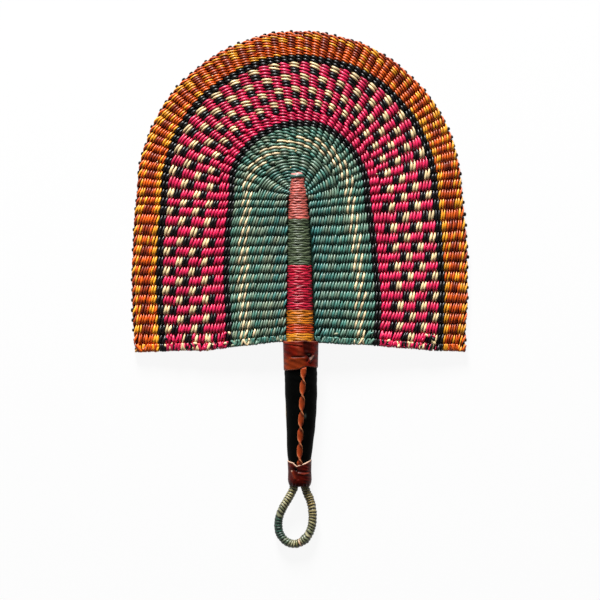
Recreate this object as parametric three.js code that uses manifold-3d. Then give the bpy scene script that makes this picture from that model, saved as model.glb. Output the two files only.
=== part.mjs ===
// A hand fan woven from dyed straw. Straw stakes cross a bound spine and spread over its tip, twined
// bands of weft hold them, straw is wound round the spine, and a laced leather sleeve with two leather
// cuffs and a wound loop makes the handle.
// Millimetres, +Z up. The fan lies face up on the plane z = 0 with its spine along Y.

import * as THREE from "three";
import { mergeVertices } from "three/addons/utils/BufferGeometryUtils.js";
import Module from "manifold-3d";

const wasm = await Module();
wasm.setup();

// Fits
const CLEARANCE = 0.3; // between pieces that lie against each other
const LEATHER = 0.9; // thickness of the leather

// Stakes, the ribs of the blade
const STAKE_DIAMETER = 1.8;
const STAKE_SIDES = 6;
const STAKE_PITCH = 8; // between neighbours along the spine
const CROSS_STAKES = 17; // stakes that pass through the spine
const STAKE_TIP = 1.6; // how far a stake stands out of the rim
const STAKE_DROOP = 7.5; // how far the lowest stake's ends lie below its middle

// Outline of the blade, from the point on the spine where the arched stakes meet
const RIM_RADIUS = 135.7; // of the arched top
const RIM_CENTRE_DROP = 6.25; // from the meeting point down to the centre of the arched top
const RIM_FOOT_GAIN = 1.9; // how much further out the rim is at the lowest stake
const RIM_BULGE = 3.65; // swell of the sides between the arch and the lowest stake

// Weave. The arch spaces are counted over its half turn, and more stakes join towards the rim.
const RIB_THICKNESS = 5.2; // over a stake
const VALLEY_THICKNESS = 2.4; // between two stakes
const AMBER_WIDTH = 20;
const OUTER_BLACK_WIDTH = 4.4;
const MAGENTA_WIDTH = 50;
const INNER_BLACK_WIDTH = 5;
const HEART_REACH = 24; // from the spine's axis to where the first extra stakes are set in
const HEART_SPACES = 9;
const TEAL_SPACES = 18;
const INNER_RING_SPACES = 27;
const MAGENTA_SPACES = 36;
const AMBER_SPACES = 54;

// Spine: a bundle of straw, given by its bare section at the tip and at the collar
const SPINE_TIP = 9.5; // above the meeting point
const SPINE_TIP_ROUND = 3.5; // length over which the tip is rounded
const SPINE_TIP_END = 0.55; // share of the tip's section that is left at its very end
const SPINE_TIP_SHOULDER = 0.9; // and halfway round
const SPINE_TIP_WIDTH = 8.6;
const SPINE_TIP_DEPTH = 6.4;
const SPINE_TIP_HEIGHT = 6.5; // of the spine's axis over the ground
const SPINE_FOOT_WIDTH = 21.4;
const SPINE_FOOT_DEPTH = 15;
const SPINE_SIDES = 12;

// Winding: a ribbon of straws side by side takes one turn in each space between cross stakes
const STRAW = 1.2; // thickness of the wound straw
const STRAWS_ABREAST = 3;
const STRAW_GROOVE = 0.45; // depth of the groove between two straws
const TURN_GAP = 0.7; // between turns on the front and back
const FLANK_ANGLE = 53; // from straight front or back, past which the ribbon is narrow, in degrees
const SALMON_TURNS = 4;
const GREEN_TURNS = 5;
const CRIMSON_TURNS = 5;
const AMBER_TURNS = 4;

// Handle, from the lowest edge of the blade down
const HANDLE_LENGTH = 117;
const COLLAR_LENGTH = 22;
const FERRULE_LENGTH = 24;
const FERRULE_TAPER_LENGTH = 7;
const FERRULE_TAPER = 1.8; // how much narrower the ferrule is at its mouth
const CUFF_NOTCH = 4.5; // how far the cuffs' edges draw back at the lacing
const CUFF_NOTCH_ANGLE = 75; // reach of the notch to each side, in degrees
const SLEEVE_INSET = 3; // how far the sleeve's top lies inside the collar
const SLEEVE_TOP_WIDTH = 26.8;
const SLEEVE_TOP_DEPTH = 19.2;
const SLEEVE_FOOT_WIDTH = 18.6; // at the ferrule, and straight below it
const SLEEVE_FOOT_DEPTH = 14.4;
const SLEEVE_SWELL = 1.7; // how far each side bows out halfway between the collar and the ferrule
const SLEEVE_SWELL_RINGS = 3;
const SEAM_GAP = 0.8; // between the sleeve's two edges
const SEAM_TOP_ANGLE = 11; // of the seam from straight up, in degrees
const SEAM_FOOT_ANGLE = -3;
const HANDLE_SIDES = 24;

// Lacing and the tucked ends of the cuffs
const LACE_WIDTH = 5;
const LACE_WAIST = 2.4; // width where one stitch passes under the next
const LACE_THICKNESS = 1.5;
const LACE_WAIST_THICKNESS = 0.9;
const LACE_SWAY = 0.6; // sideways, to each side in turn
const LACE_STITCHES = 7;
const TAB_LENGTH = 8;
const TAB_WIDTH = 4.2;
const COLLAR_TAB_ANGLE = 33;
const FERRULE_TAB_ANGLE = -24;

// Hanging loop: a cord wound with straw, its route from the middle of the ferrule's mouth
const CORD_DIAMETER = 7;
const CORD_STRAW = 1; // thickness of the straw round the cord
const CORD_SEAT = 16; // how far the cord's two ends reach up into the ferrule
const CORD_TURNS = 24;
const CORD_TURN_GAP = 0.75; // between turns along the cord's axis
const CORD_ROUTE = [
  [-3.9, 16, 0],
  [-3.9, 10, 0],
  [-4, 4, -0.1],
  [-4.7, -0.7, -0.4],
  [-6.7, -5.4, -0.8],
  [-9.5, -10.4, -1.4],
  [-12.8, -16, -2],
  [-15.5, -21.6, -2.6],
  [-17.2, -27.4, -3.2],
  [-17.6, -33.2, -3.8],
  [-16.6, -39, -4.2],
  [-13.6, -44, -4.5],
  [-9.2, -47.2, -4.6],
  [-4.1, -48.4, -4.6],
  [1, -47, -4.6],
  [5.4, -43.4, -4.5],
  [8.5, -38.5, -4.2],
  [10.3, -32.8, -3.8],
  [10.9, -26.8, -3.2],
  [10.7, -20.8, -2.6],
  [9.8, -15, -2],
  [8.2, -9.8, -1.4],
  [6.2, -5.1, -0.8],
  [4.7, -0.7, -0.4],
  [4, 4, -0.1],
  [3.9, 10, 0],
  [3.9, 16, 0],
].map(([x, y, z]) => new THREE.Vector3(x, y, z));

// Places along the spine and heights over the ground that follow from the sizes above
const CUFF_GROWTH = CLEARANCE + LEATHER;
const COLLAR_REACH = SLEEVE_TOP_WIDTH / 2 + CUFF_GROWTH;
const LOWEST_EDGE = crossStakeY(CROSS_STAKES - 1, COLLAR_REACH) - STAKE_PITCH / 2;
const COLLAR_TOP = LOWEST_EDGE - CLEARANCE;
const COLLAR_FOOT = COLLAR_TOP - COLLAR_LENGTH;
const FERRULE_FOOT = COLLAR_TOP - HANDLE_LENGTH;
const FERRULE_TOP = FERRULE_FOOT + FERRULE_LENGTH;
const SLEEVE_TOP = COLLAR_TOP - SLEEVE_INSET;
const SLEEVE_FOOT = FERRULE_FOOT + FERRULE_TAPER_LENGTH;
const CORE_FOOT = FERRULE_FOOT + CORD_SEAT + CLEARANCE;
const LOWEST_FACET = Math.cos(Math.PI / HANDLE_SIDES);
const COLLAR_AXIS = (SLEEVE_TOP_DEPTH / 2 + CUFF_GROWTH) * LOWEST_FACET;
const FERRULE_AXIS = (SLEEVE_FOOT_DEPTH / 2 + CUFF_GROWTH) * LOWEST_FACET;
const RIM_HEIGHT = RIB_THICKNESS / 2;
const STAKE_ROOM = STAKE_DIAMETER / 2 + CLEARANCE; // half width of the tunnel that a stake lies in

const { degToRad, lerp, mapLinear, clamp, smoothstep } = THREE.MathUtils;

// The value at a place along the spine of a line drawn through [place, value] pairs, from the tip down.
function along(pairs, place) {
  const last = pairs.length - 1;
  let upper = 0;
  while (upper < last - 1 && place < pairs[upper + 1][0]) {
    upper += 1;
  }
  const [fromPlace, fromValue] = pairs[upper];
  const [toPlace, toValue] = pairs[upper + 1];
  const inside = clamp(place, Math.min(fromPlace, toPlace), Math.max(fromPlace, toPlace));
  return mapLinear(inside, fromPlace, toPlace, fromValue, toValue);
}

// Height of the axis that the spine and the handle share.
function axisHeight(y) {
  const heights = [
    [SPINE_TIP, SPINE_TIP_HEIGHT],
    [COLLAR_TOP, COLLAR_AXIS],
    [COLLAR_FOOT, COLLAR_AXIS],
    [FERRULE_TOP, FERRULE_AXIS],
    [FERRULE_FOOT, FERRULE_AXIS],
  ];
  return along(heights, y);
}

// Half sizes of the sleeve's outside, and of the bare bundle that runs from the tip into the ferrule.
function sleeveHalves(y) {
  const place = clamp(y, FERRULE_TOP, SLEEVE_TOP);
  const shown = mapLinear(clamp(y, FERRULE_TOP, COLLAR_FOOT), COLLAR_FOOT, FERRULE_TOP, 0, 1);
  const tapered = mapLinear(place, SLEEVE_TOP, FERRULE_TOP, SLEEVE_TOP_WIDTH, SLEEVE_FOOT_WIDTH) / 2;
  return {
    width: tapered + SLEEVE_SWELL * Math.sin(Math.PI * shown),
    depth: mapLinear(place, SLEEVE_TOP, FERRULE_TOP, SLEEVE_TOP_DEPTH, SLEEVE_FOOT_DEPTH) / 2,
  };
}

// Places of the sleeve's rings where it bows out, from the collar down.
const swellPlaces = Array.from({ length: SLEEVE_SWELL_RINGS }, (_, i) =>
  lerp(COLLAR_FOOT, FERRULE_TOP, (i + 1) / (SLEEVE_SWELL_RINGS + 1)),
);

function spineHalves(y) {
  return {
    width: mapLinear(y, SPINE_TIP, COLLAR_TOP, SPINE_TIP_WIDTH, SPINE_FOOT_WIDTH) / 2,
    depth: mapLinear(y, SPINE_TIP, COLLAR_TOP, SPINE_TIP_DEPTH, SPINE_FOOT_DEPTH) / 2,
  };
}

// A point on an oval round the axis. The angle starts at the front and turns towards +X.
function ovalPoint(angle, y, halves, growth = 0) {
  return new THREE.Vector3(
    (halves.width + growth) * Math.sin(angle),
    y,
    axisHeight(y) + (halves.depth + growth) * Math.cos(angle),
  );
}

// A closed body from points and triangles, turned so that its faces point out.
function solid(points, faces) {
  let volume = 0;
  for (let i = 0; i < faces.length; i += 3) {
    const [a, b, c] = [points[faces[i]], points[faces[i + 1]], points[faces[i + 2]]];
    volume += a.dot(b.clone().cross(c)) / 6;
  }
  const geometry = new THREE.BufferGeometry().setFromPoints(points);
  geometry.setIndex(volume < 0 ? faces.slice().reverse() : faces);
  geometry.computeVertexNormals();
  return geometry;
}

// Triangles that fill a flat outline, in the outline's own direction.
function fillOutline(outline) {
  const normal = new THREE.Vector3();
  const fromFirst = outline.map((point) => point.clone().sub(outline[0]));
  fromFirst.slice(1).forEach((point, i) => {
    normal.add(fromFirst[i].clone().cross(point));
  });
  const across = outline[1].clone().sub(outline[0]).normalize();
  const up = normal.clone().cross(across).normalize();
  const flat = outline.map((point) => new THREE.Vector2(point.dot(across), point.dot(up)));
  return THREE.ShapeUtils.triangulateShape(flat, []).map(([a, b, c]) => {
    const turn = flat[b].clone().sub(flat[a]).cross(flat[c].clone().sub(flat[a]));
    return turn > 0 ? [a, b, c] : [a, c, b];
  });
}

// A body skinned over a row of like outlines. A row that closes on itself needs no ends.
function skin(outlines, closed = false) {
  const count = outlines[0].length;
  const points = outlines.flat();
  const faces = [];
  const spans = closed ? outlines.length : outlines.length - 1;
  for (let row = 0; row < spans; row += 1) {
    const here = row * count;
    const there = ((row + 1) % outlines.length) * count;
    for (let j = 0; j < count; j += 1) {
      const next = (j + 1) % count;
      faces.push(here + j, here + next, there + next);
      faces.push(here + j, there + next, there + j);
    }
  }
  if (!closed) {
    const end = (outlines.length - 1) * count;
    fillOutline(outlines[0]).forEach(([a, b, c]) => faces.push(c, b, a));
    fillOutline(outlines.at(-1)).forEach(([a, b, c]) => faces.push(end + a, end + b, end + c));
  }
  return solid(points, faces);
}

// Conversion between a geometry and a solid that can be cut.
function toManifold(geometry) {
  const bare = new THREE.BufferGeometry();
  bare.setAttribute("position", geometry.getAttribute("position"));
  bare.setIndex(geometry.index);
  const merged = mergeVertices(bare, 1e-4);
  return new wasm.Manifold(
    new wasm.Mesh({
      numProp: 3,
      vertProperties: Float32Array.from(merged.getAttribute("position").array),
      triVerts: Uint32Array.from(merged.index.array),
    }),
  );
}

function fromManifold(manifold) {
  const mesh = manifold.getMesh();
  const geometry = new THREE.BufferGeometry();
  geometry.setAttribute("position", new THREE.BufferAttribute(mesh.vertProperties, 3));
  geometry.setIndex(new THREE.BufferAttribute(mesh.triVerts, 1));
  geometry.computeVertexNormals();
  return geometry;
}

// Least distance between points of two turns of a winding that lie at least half a turn apart.
function leastGap(sections, stepsPerTurn) {
  let least = Infinity;
  sections.forEach((section, i) => {
    sections.slice(i + Math.ceil(stepsPerTurn / 2)).forEach((other) => {
      section.forEach((point) => {
        other.forEach((otherPoint) => {
          least = Math.min(least, point.distanceTo(otherPoint));
        });
      });
    });
  });
  return least;
}

// Distance from the meeting point to the rim, along a stake of the arch and at a cross stake. Cross stakes
// are numbered from the meeting point down, and a number with a fraction lies between two of them.
function archReach(angle) {
  const sideways = RIM_CENTRE_DROP * Math.cos(angle);
  return Math.sqrt(RIM_RADIUS ** 2 - sideways ** 2) - RIM_CENTRE_DROP * Math.sin(angle);
}

function crossReach(number) {
  const share = number / (CROSS_STAKES - 1);
  return archReach(0) + RIM_FOOT_GAIN * share + RIM_BULGE * Math.sin(Math.PI * share);
}

// Place of a cross stake along the spine, at a distance out from the spine's axis.
function crossStakeY(number, distance) {
  const droop = (STAKE_DROOP * Math.max(number, 0)) / (CROSS_STAKES - 1);
  return -number * STAKE_PITCH - (droop * distance) / crossReach(number);
}

// A rib runs from its foot on the spine's axis to its tip at the rim. Its side points to the next rib.
function rib(footY, tipX, tipY, spineReach) {
  const foot = new THREE.Vector3(0, footY, axisHeight(footY));
  const tip = new THREE.Vector3(tipX, tipY, RIM_HEIGHT);
  const reach = Math.hypot(tipX, tipY - footY);
  const side = new THREE.Vector3((tipY - footY) / reach, -tipX / reach, 0);
  return { foot, tip, reach, side, spineReach };
}

function ribPoint(one, distance) {
  return one.foot.clone().lerp(one.tip, distance / one.reach);
}

function crossRib(number, hand) {
  const y = crossStakeY(number, 0);
  const reach = crossReach(number);
  return rib(y, hand * reach, crossStakeY(number, reach), spineHalves(y).width);
}

// The spine's tip is rounded in plan, so a rib of the arch leaves it on a squarish oval.
function archRib(angle) {
  const reach = archReach(angle);
  const squareness = 4;
  const acrossTip = (Math.abs(Math.cos(angle)) / spineHalves(0).width) ** squareness;
  const alongTip = (Math.sin(angle) / SPINE_TIP) ** squareness;
  const spineReach = (acrossTip + alongTip) ** (-1 / squareness);
  return rib(0, reach * Math.cos(angle), reach * Math.sin(angle), spineReach);
}

// The ribs of one band in order: up the left side, over the arch and down the right side.
function ribRow(archSpaces, archStaked) {
  const left = Array.from({ length: CROSS_STAKES }, (_, number) => crossRib(number, -1)).reverse();
  const right = Array.from({ length: CROSS_STAKES }, (_, number) => crossRib(number, 1));
  const arch = Array.from({ length: archSpaces - 1 }, (_, place) =>
    archRib(Math.PI * (1 - (place + 1) / archSpaces)),
  );
  [...left, ...right].forEach((one) => {
    one.staked = true;
  });
  arch.forEach((one) => {
    one.staked = archStaked;
  });
  return [...left, ...arch, ...right];
}

// One edge of a band: valley, rib, valley, rib ... valley, on the front and on the back, and the corners
// of the square tunnels that the stakes lie in.
function bandEdge(ribs, distanceAt, points) {
  const add = (point, lift) => points.push(point.clone().setZ(point.z + lift)) - 1;
  const crests = ribs.map((one) => ribPoint(one, distanceAt(one)));
  const valleys = crests.slice(1).map((crest, i) => crest.clone().lerp(crests[i], 0.5));
  const last = crests.length - 1;
  valleys.unshift(crests[0].clone().multiplyScalar(2).sub(valleys[0]));
  valleys.push(crests[last].clone().multiplyScalar(2).sub(valleys[last]));
  const line = (facing) =>
    Array.from({ length: 2 * crests.length + 1 }, (_, i) =>
      i % 2 === 0
        ? add(valleys[i / 2], (facing * VALLEY_THICKNESS) / 2)
        : add(crests[(i - 1) / 2], (facing * RIB_THICKNESS) / 2),
    );
  const room = STAKE_ROOM;
  const corners = [[-room, room], [room, room], [room, -room], [-room, -room]];
  const tunnels = ribs.map((one, i) =>
    one.staked
      ? corners.map(([aside, lift]) => add(crests[i].clone().addScaledVector(one.side, aside), lift))
      : null,
  );
  return { front: line(1), back: line(-1), tunnels };
}

// A woven band: a ribbed sheet from one distance along its ribs to another, with a tunnel for each stake.
function wovenBand(ribs, innerAt, outerAt) {
  const points = [];
  const faces = [];
  const inner = bandEdge(ribs, innerAt, points);
  const outer = bandEdge(ribs, outerAt, points);
  const triangle = (a, b, c) => faces.push(a, b, c);
  const quad = (a, b, c, d) => faces.push(a, b, c, a, c, d);
  const last = inner.front.length - 1;
  for (let i = 0; i < last; i += 1) {
    quad(inner.front[i], inner.front[i + 1], outer.front[i + 1], outer.front[i]);
    quad(inner.back[i + 1], inner.back[i], outer.back[i], outer.back[i + 1]);
  }
  quad(inner.front[0], outer.front[0], outer.back[0], inner.back[0]);
  quad(inner.front[last], inner.back[last], outer.back[last], outer.front[last]);
  ribs.forEach((one, i) => {
    [outer, inner].forEach((edge) => {
      const [f0, f1, f2] = edge.front.slice(2 * i, 2 * i + 3);
      const [b0, b1, b2] = edge.back.slice(2 * i, 2 * i + 3);
      const turned = edge === inner;
      const cap = (a, b, c) => (turned ? triangle(c, b, a) : triangle(a, b, c));
      if (!one.staked) {
        cap(f1, f2, b2);
        cap(f1, b2, b1);
        cap(f1, b1, b0);
        cap(f1, b0, f0);
        return;
      }
      const [frontNear, frontFar, backFar, backNear] = edge.tunnels[i];
      cap(f0, f1, frontNear);
      cap(f1, frontFar, frontNear);
      cap(f1, f2, frontFar);
      cap(f2, b2, frontFar);
      cap(b2, backFar, frontFar);
      cap(b2, b1, backFar);
      cap(b1, backNear, backFar);
      cap(b1, b0, backNear);
      cap(b0, f0, backNear);
      cap(f0, frontNear, backNear);
    });
    if (one.staked) {
      for (let corner = 0; corner < 4; corner += 1) {
        const next = (corner + 1) % 4;
        quad(
          inner.tunnels[i][next],
          inner.tunnels[i][corner],
          outer.tunnels[i][corner],
          outer.tunnels[i][next],
        );
      }
    }
  });
  return solid(points, faces);
}

// A straight-sided rod through the given points.
function rod(middles, side, radius, sides = STAKE_SIDES) {
  const outlines = middles.map((middle) =>
    Array.from({ length: sides }, (_, i) => {
      const angle = (2 * Math.PI * (i + 0.5)) / sides;
      const point = middle.clone().addScaledVector(side, radius * Math.cos(angle));
      return point.setZ(point.z + radius * Math.sin(angle));
    }),
  );
  return skin(outlines);
}

function crossStake(number, radius, sides) {
  const [left, right] = [crossRib(number, -1), crossRib(number, 1)];
  const middles = [
    ribPoint(left, left.reach + STAKE_TIP),
    left.foot,
    ribPoint(right, right.reach + STAKE_TIP),
  ];
  return rod(middles, new THREE.Vector3(0, 1, 0), radius, sides);
}

// A leather cuff or sleeve: walls of even thickness between two edges, round an oval. Each row gives the
// places of its rings from the top down at one angle.
function leatherShell(angleRows, placesAt, halvesAt, closed) {
  const outlines = angleRows.map((angleAt) => {
    const places = placesAt(angleAt(SLEEVE_TOP));
    const outside = places.map((y) => ovalPoint(angleAt(y), y, halvesAt(y)));
    const inside = places.map((y) => ovalPoint(angleAt(y), y, halvesAt(y), -LEATHER));
    return [...outside, ...inside.reverse()];
  });
  return skin(outlines, closed);
}

function cuffRows() {
  return Array.from({ length: HANDLE_SIDES }, (_, i) => {
    const angle = (2 * Math.PI * (i + 0.5)) / HANDLE_SIDES;
    return () => angle;
  });
}

// The seam leans a little from the collar to the ferrule.
function seamAngle(y) {
  const places = [
    [SLEEVE_TOP, SEAM_TOP_ANGLE],
    [SLEEVE_FOOT, SEAM_FOOT_ANGLE],
  ];
  return degToRad(along(places, y));
}

// How far a cuff's edge draws back at an angle: all the way at the seam, and not at all past the notch.
function notchDepth(angle, seam) {
  const turn = Math.abs(Math.atan2(Math.sin(angle - seam), Math.cos(angle - seam)));
  return CUFF_NOTCH * Math.max(0, 1 - turn / degToRad(CUFF_NOTCH_ANGLE));
}

// The collar narrows with the sleeve but keeps a level underside, and the ferrule draws in at its mouth.
function collarHalves(y) {
  return {
    width: sleeveHalves(y).width + CUFF_GROWTH,
    depth: SLEEVE_TOP_DEPTH / 2 + CUFF_GROWTH,
  };
}

function ferruleHalves(y) {
  const taper = mapLinear(Math.min(y, SLEEVE_FOOT), SLEEVE_FOOT, FERRULE_FOOT, 0, FERRULE_TAPER / 2);
  return {
    width: SLEEVE_FOOT_WIDTH / 2 + CUFF_GROWTH - taper,
    depth: SLEEVE_FOOT_DEPTH / 2 + CUFF_GROWTH - taper,
  };
}

// A leather thong laid down the handle: leaf-shaped stitches that sway to each side in turn.
function thong(stitches, top, foot, angleAt, halvesAt, width, waist) {
  const stepsPerStitch = 5;
  const steps = stitches * stepsPerStitch;
  const outlines = Array.from({ length: steps + 1 }, (_, step) => {
    const y = lerp(top, foot, step / steps);
    const swell = Math.sin((Math.PI * (step % stepsPerStitch)) / stepsPerStitch);
    const hand = Math.floor(step / stepsPerStitch) % 2 === 0 ? 1 : -1;
    const halfWidth = lerp(waist, width, swell) / 2;
    const thickness = lerp(LACE_WAIST_THICKNESS, LACE_THICKNESS, swell);
    const angle = angleAt(y);
    const halves = halvesAt(y);
    const out = new THREE.Vector3(Math.sin(angle) / halves.width, 0, Math.cos(angle) / halves.depth);
    out.normalize();
    const aside = new THREE.Vector3(out.z, 0, -out.x);
    const base = ovalPoint(angle, y, halves).addScaledVector(aside, hand * LACE_SWAY * swell);
    const domed = [
      [-1, 0.4],
      [-0.55, 1],
      [0.55, 1],
      [1, 0.4],
      [0.6, 0],
      [-0.6, 0],
    ];
    return domed.map(([across, up]) =>
      base
        .clone()
        .addScaledVector(aside, across * halfWidth)
        .addScaledVector(out, CLEARANCE + up * thickness),
    );
  });
  return skin(outlines);
}

// The spine's winding. The ribbon lies square across the front, steps to the next space across the back,
// and is drawn narrow at the sides, where it passes between the cross stakes.
function spineWinding(firstSpace, turns, stepsLeftOff) {
  const stepsPerTurn = SPINE_SIDES;
  const wide = STAKE_PITCH - TURN_GAP;
  const narrow = STAKE_PITCH - 2 * STAKE_ROOM;
  const steps = turns * stepsPerTurn - stepsLeftOff;
  const sections = Array.from({ length: steps + 1 }, (_, step) => {
    const turn = Math.floor(step / stepsPerTurn);
    const share = step / stepsPerTurn - turn;
    const climb = smoothstep(share, 0.5 + 1 / stepsPerTurn, 1 - 1 / stepsPerTurn);
    const angle = Math.PI / 2 - 2 * Math.PI * share;
    const space = firstSpace + turn + climb + 0.5;
    const middle = crossStakeY(space, spineHalves(crossStakeY(space, 0)).width + STRAW);
    const atFlank = Math.abs(Math.cos(angle)) < Math.cos(degToRad(FLANK_ANGLE));
    const width = atFlank ? narrow : wide;
    const top = Math.min(middle + width / 2, SPINE_TIP - SPINE_TIP_ROUND / 2);
    const foot = Math.max(middle - width / 2, COLLAR_TOP + CLEARANCE);
    const ring = (y, growth) => ovalPoint(angle, y, spineHalves(y), growth);
    const outside = Array.from({ length: 2 * STRAWS_ABREAST - 1 }, (_, i) => {
      const y = lerp(top, foot, (i + 1) / (2 * STRAWS_ABREAST));
      return ring(y, CLEARANCE + STRAW - (i % 2 === 0 ? 0 : STRAW_GROOVE));
    });
    return [ring(top, CLEARANCE), ...outside, ring(foot, CLEARANCE)];
  });
  return { geometry: skin(sections), gap: leastGap(sections, stepsPerTurn) };
}

// The bundle inside the spine and the handle, with a square hole for each cross stake.
function spineCore() {
  const insideSleeve = (y) => {
    const sleeve = sleeveHalves(y);
    return {
      width: sleeve.width - LEATHER - CLEARANCE,
      depth: sleeve.depth - LEATHER - CLEARANCE,
    };
  };
  const rounded = (y, scale) => ({
    width: spineHalves(y).width * scale,
    depth: spineHalves(y).depth * scale,
  });
  const rings = [
    [SPINE_TIP, rounded(SPINE_TIP, SPINE_TIP_END)],
    [SPINE_TIP - SPINE_TIP_ROUND / 2, rounded(SPINE_TIP, SPINE_TIP_SHOULDER)],
    [SPINE_TIP - SPINE_TIP_ROUND, spineHalves(SPINE_TIP - SPINE_TIP_ROUND)],
    [COLLAR_TOP, spineHalves(COLLAR_TOP)],
    [SLEEVE_TOP, insideSleeve(SLEEVE_TOP)],
    [COLLAR_FOOT, insideSleeve(COLLAR_FOOT)],
    ...swellPlaces.map((y) => [y, insideSleeve(y)]),
    [FERRULE_TOP, insideSleeve(FERRULE_TOP)],
    [CORE_FOOT, insideSleeve(CORE_FOOT)],
  ];
  const outlines = rings.map(([y, halves]) =>
    Array.from({ length: SPINE_SIDES }, (_, i) => ovalPoint((2 * Math.PI * i) / SPINE_SIDES, y, halves)),
  );
  let core = toManifold(skin(outlines));
  for (let number = 0; number < CROSS_STAKES; number += 1) {
    core = core.subtract(toManifold(crossStake(number, STAKE_ROOM * Math.SQRT2, 4)));
  }
  return fromManifold(core);
}

// The loop's cord, and the straw ribbon wound round it from end to end.
function cordCore() {
  const radius = CORD_DIAMETER / 2 - CORD_STRAW - CLEARANCE;
  const corners = Array.from({ length: 8 }, (_, i) => {
    const angle = (Math.PI * i) / 4;
    return new THREE.Vector2(radius * Math.cos(angle), radius * Math.sin(angle));
  });
  return new THREE.ExtrudeGeometry(new THREE.Shape(corners), {
    extrudePath: new THREE.CatmullRomCurve3(CORD_ROUTE),
    steps: 30,
    bevelEnabled: false,
  });
}

function cordWinding() {
  const stepsPerTurn = 8;
  const route = new THREE.CatmullRomCurve3(CORD_ROUTE);
  const length = route.getLength();
  const pitch = length / (CORD_TURNS + 1);
  const halfWidth = (pitch - CORD_TURN_GAP) / 2;
  const inside = CORD_DIAMETER / 2 - CORD_STRAW;
  const steps = CORD_TURNS * stepsPerTurn;
  const up = new THREE.Vector3(0, 0, 1);
  const tubePoint = (place, angle, radius) => {
    const middle = route.getPointAt(place / length);
    const forward = route.getTangentAt(place / length);
    const aside = new THREE.Vector3().crossVectors(up, forward).normalize();
    const above = new THREE.Vector3().crossVectors(forward, aside);
    return middle
      .addScaledVector(aside, radius * Math.cos(angle))
      .addScaledVector(above, radius * Math.sin(angle));
  };
  const sections = Array.from({ length: steps + 1 }, (_, step) => {
    const angle = (2 * Math.PI * step) / stepsPerTurn;
    const place = pitch * (0.5 + step / stepsPerTurn);
    return [
      tubePoint(place - halfWidth, angle, inside),
      tubePoint(place - halfWidth / 2, angle, inside + CORD_STRAW),
      tubePoint(place + halfWidth / 2, angle, inside + CORD_STRAW),
      tubePoint(place + halfWidth, angle, inside),
    ];
  });
  return { geometry: skin(sections), gap: leastGap(sections, stepsPerTurn) };
}

// Finishes
const finish = (color, roughness) => new THREE.MeshStandardMaterial({ color, roughness, metalness: 0 });
const blackStraw = finish(0x1e1a1b, 0.5);
const tealStraw = finish(0x4f7a70, 0.5);
const magentaStraw = finish(0xb8274f, 0.45);
const amberStraw = finish(0xd07f22, 0.45);
const salmonStraw = finish(0xc06a60, 0.5);
const greenStraw = finish(0x5f6b4c, 0.5);
const crimsonStraw = finish(0xa8263c, 0.5);
const bareStraw = finish(0xc9ab74, 0.6);
const cordStraw = finish(0x7d7f62, 0.55);
const brownLeather = finish(0x6b2213, 0.5);
const blackLeather = finish(0x0d0f0e, 0.4);
const tanLeather = finish(0x8e3f1e, 0.55);

// Assembly
const fan = new THREE.Group();
const blade = new THREE.Group();
const handle = new THREE.Group();
const loop = new THREE.Group();
fan.add(blade, handle, loop);
loop.position.set(0, FERRULE_FOOT, FERRULE_AXIS);
const bladeTop = archReach(Math.PI / 2);
fan.position.y = -(bladeTop + FERRULE_FOOT) / 2;

function place(group, name, geometry, material) {
  const mesh = new THREE.Mesh(geometry, material);
  mesh.name = name;
  group.add(mesh);
}

function numbered(name, number) {
  return `${name}_${String(number).padStart(2, "0")}`;
}

// Spine and stakes
place(handle, "spine_core", spineCore(), bareStraw);
for (let number = 0; number < CROSS_STAKES; number += 1) {
  place(blade, numbered("cross_stake", number + 1), crossStake(number, STAKE_DIAMETER / 2), blackStraw);
}

const fromSpine = (one) => one.spineReach + CLEARANCE + STRAW + 2 * CLEARANCE;
const fromRim = (width) => (one) => one.reach - width;
const shifted = (distanceAt, shift) => (one) => distanceAt(one) + shift;
const tealEdge = fromRim(AMBER_WIDTH + OUTER_BLACK_WIDTH + MAGENTA_WIDTH + INNER_BLACK_WIDTH);
const heartEdge = () => HEART_REACH;

const archCounts = { crown_stake: 0, arch_stake: 0 };
for (let number = 1; number < TEAL_SPACES; number += 1) {
  const one = archRib(Math.PI * (1 - number / TEAL_SPACES));
  const fromTip = number % (TEAL_SPACES / HEART_SPACES) === 0;
  const kind = fromTip ? "crown_stake" : "arch_stake";
  archCounts[kind] += 1;
  const start = (fromTip ? fromSpine(one) : heartEdge(one)) + CLEARANCE;
  const middles = [ribPoint(one, start), ribPoint(one, tealEdge(one) - CLEARANCE)];
  const stake = rod(middles, one.side, STAKE_DIAMETER / 2);
  place(blade, numbered(kind, archCounts[kind]), stake, blackStraw);
}

// Woven bands, from the spine out to the rim
const bands = [
  ["teal_heart", ribRow(HEART_SPACES, true), fromSpine, heartEdge, tealStraw],
  ["teal_field", ribRow(TEAL_SPACES, true), heartEdge, tealEdge, tealStraw],
  [
    "inner_black_ring",
    ribRow(INNER_RING_SPACES, false),
    tealEdge,
    fromRim(AMBER_WIDTH + OUTER_BLACK_WIDTH + MAGENTA_WIDTH),
    blackStraw,
  ],
  [
    "magenta_field",
    ribRow(MAGENTA_SPACES, false),
    fromRim(AMBER_WIDTH + OUTER_BLACK_WIDTH + MAGENTA_WIDTH),
    fromRim(AMBER_WIDTH + OUTER_BLACK_WIDTH),
    magentaStraw,
  ],
  [
    "outer_black_ring",
    ribRow(AMBER_SPACES, false),
    fromRim(AMBER_WIDTH + OUTER_BLACK_WIDTH),
    fromRim(AMBER_WIDTH),
    blackStraw,
  ],
  ["amber_border", ribRow(AMBER_SPACES, false), fromRim(AMBER_WIDTH), fromRim(0), amberStraw],
];
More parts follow.
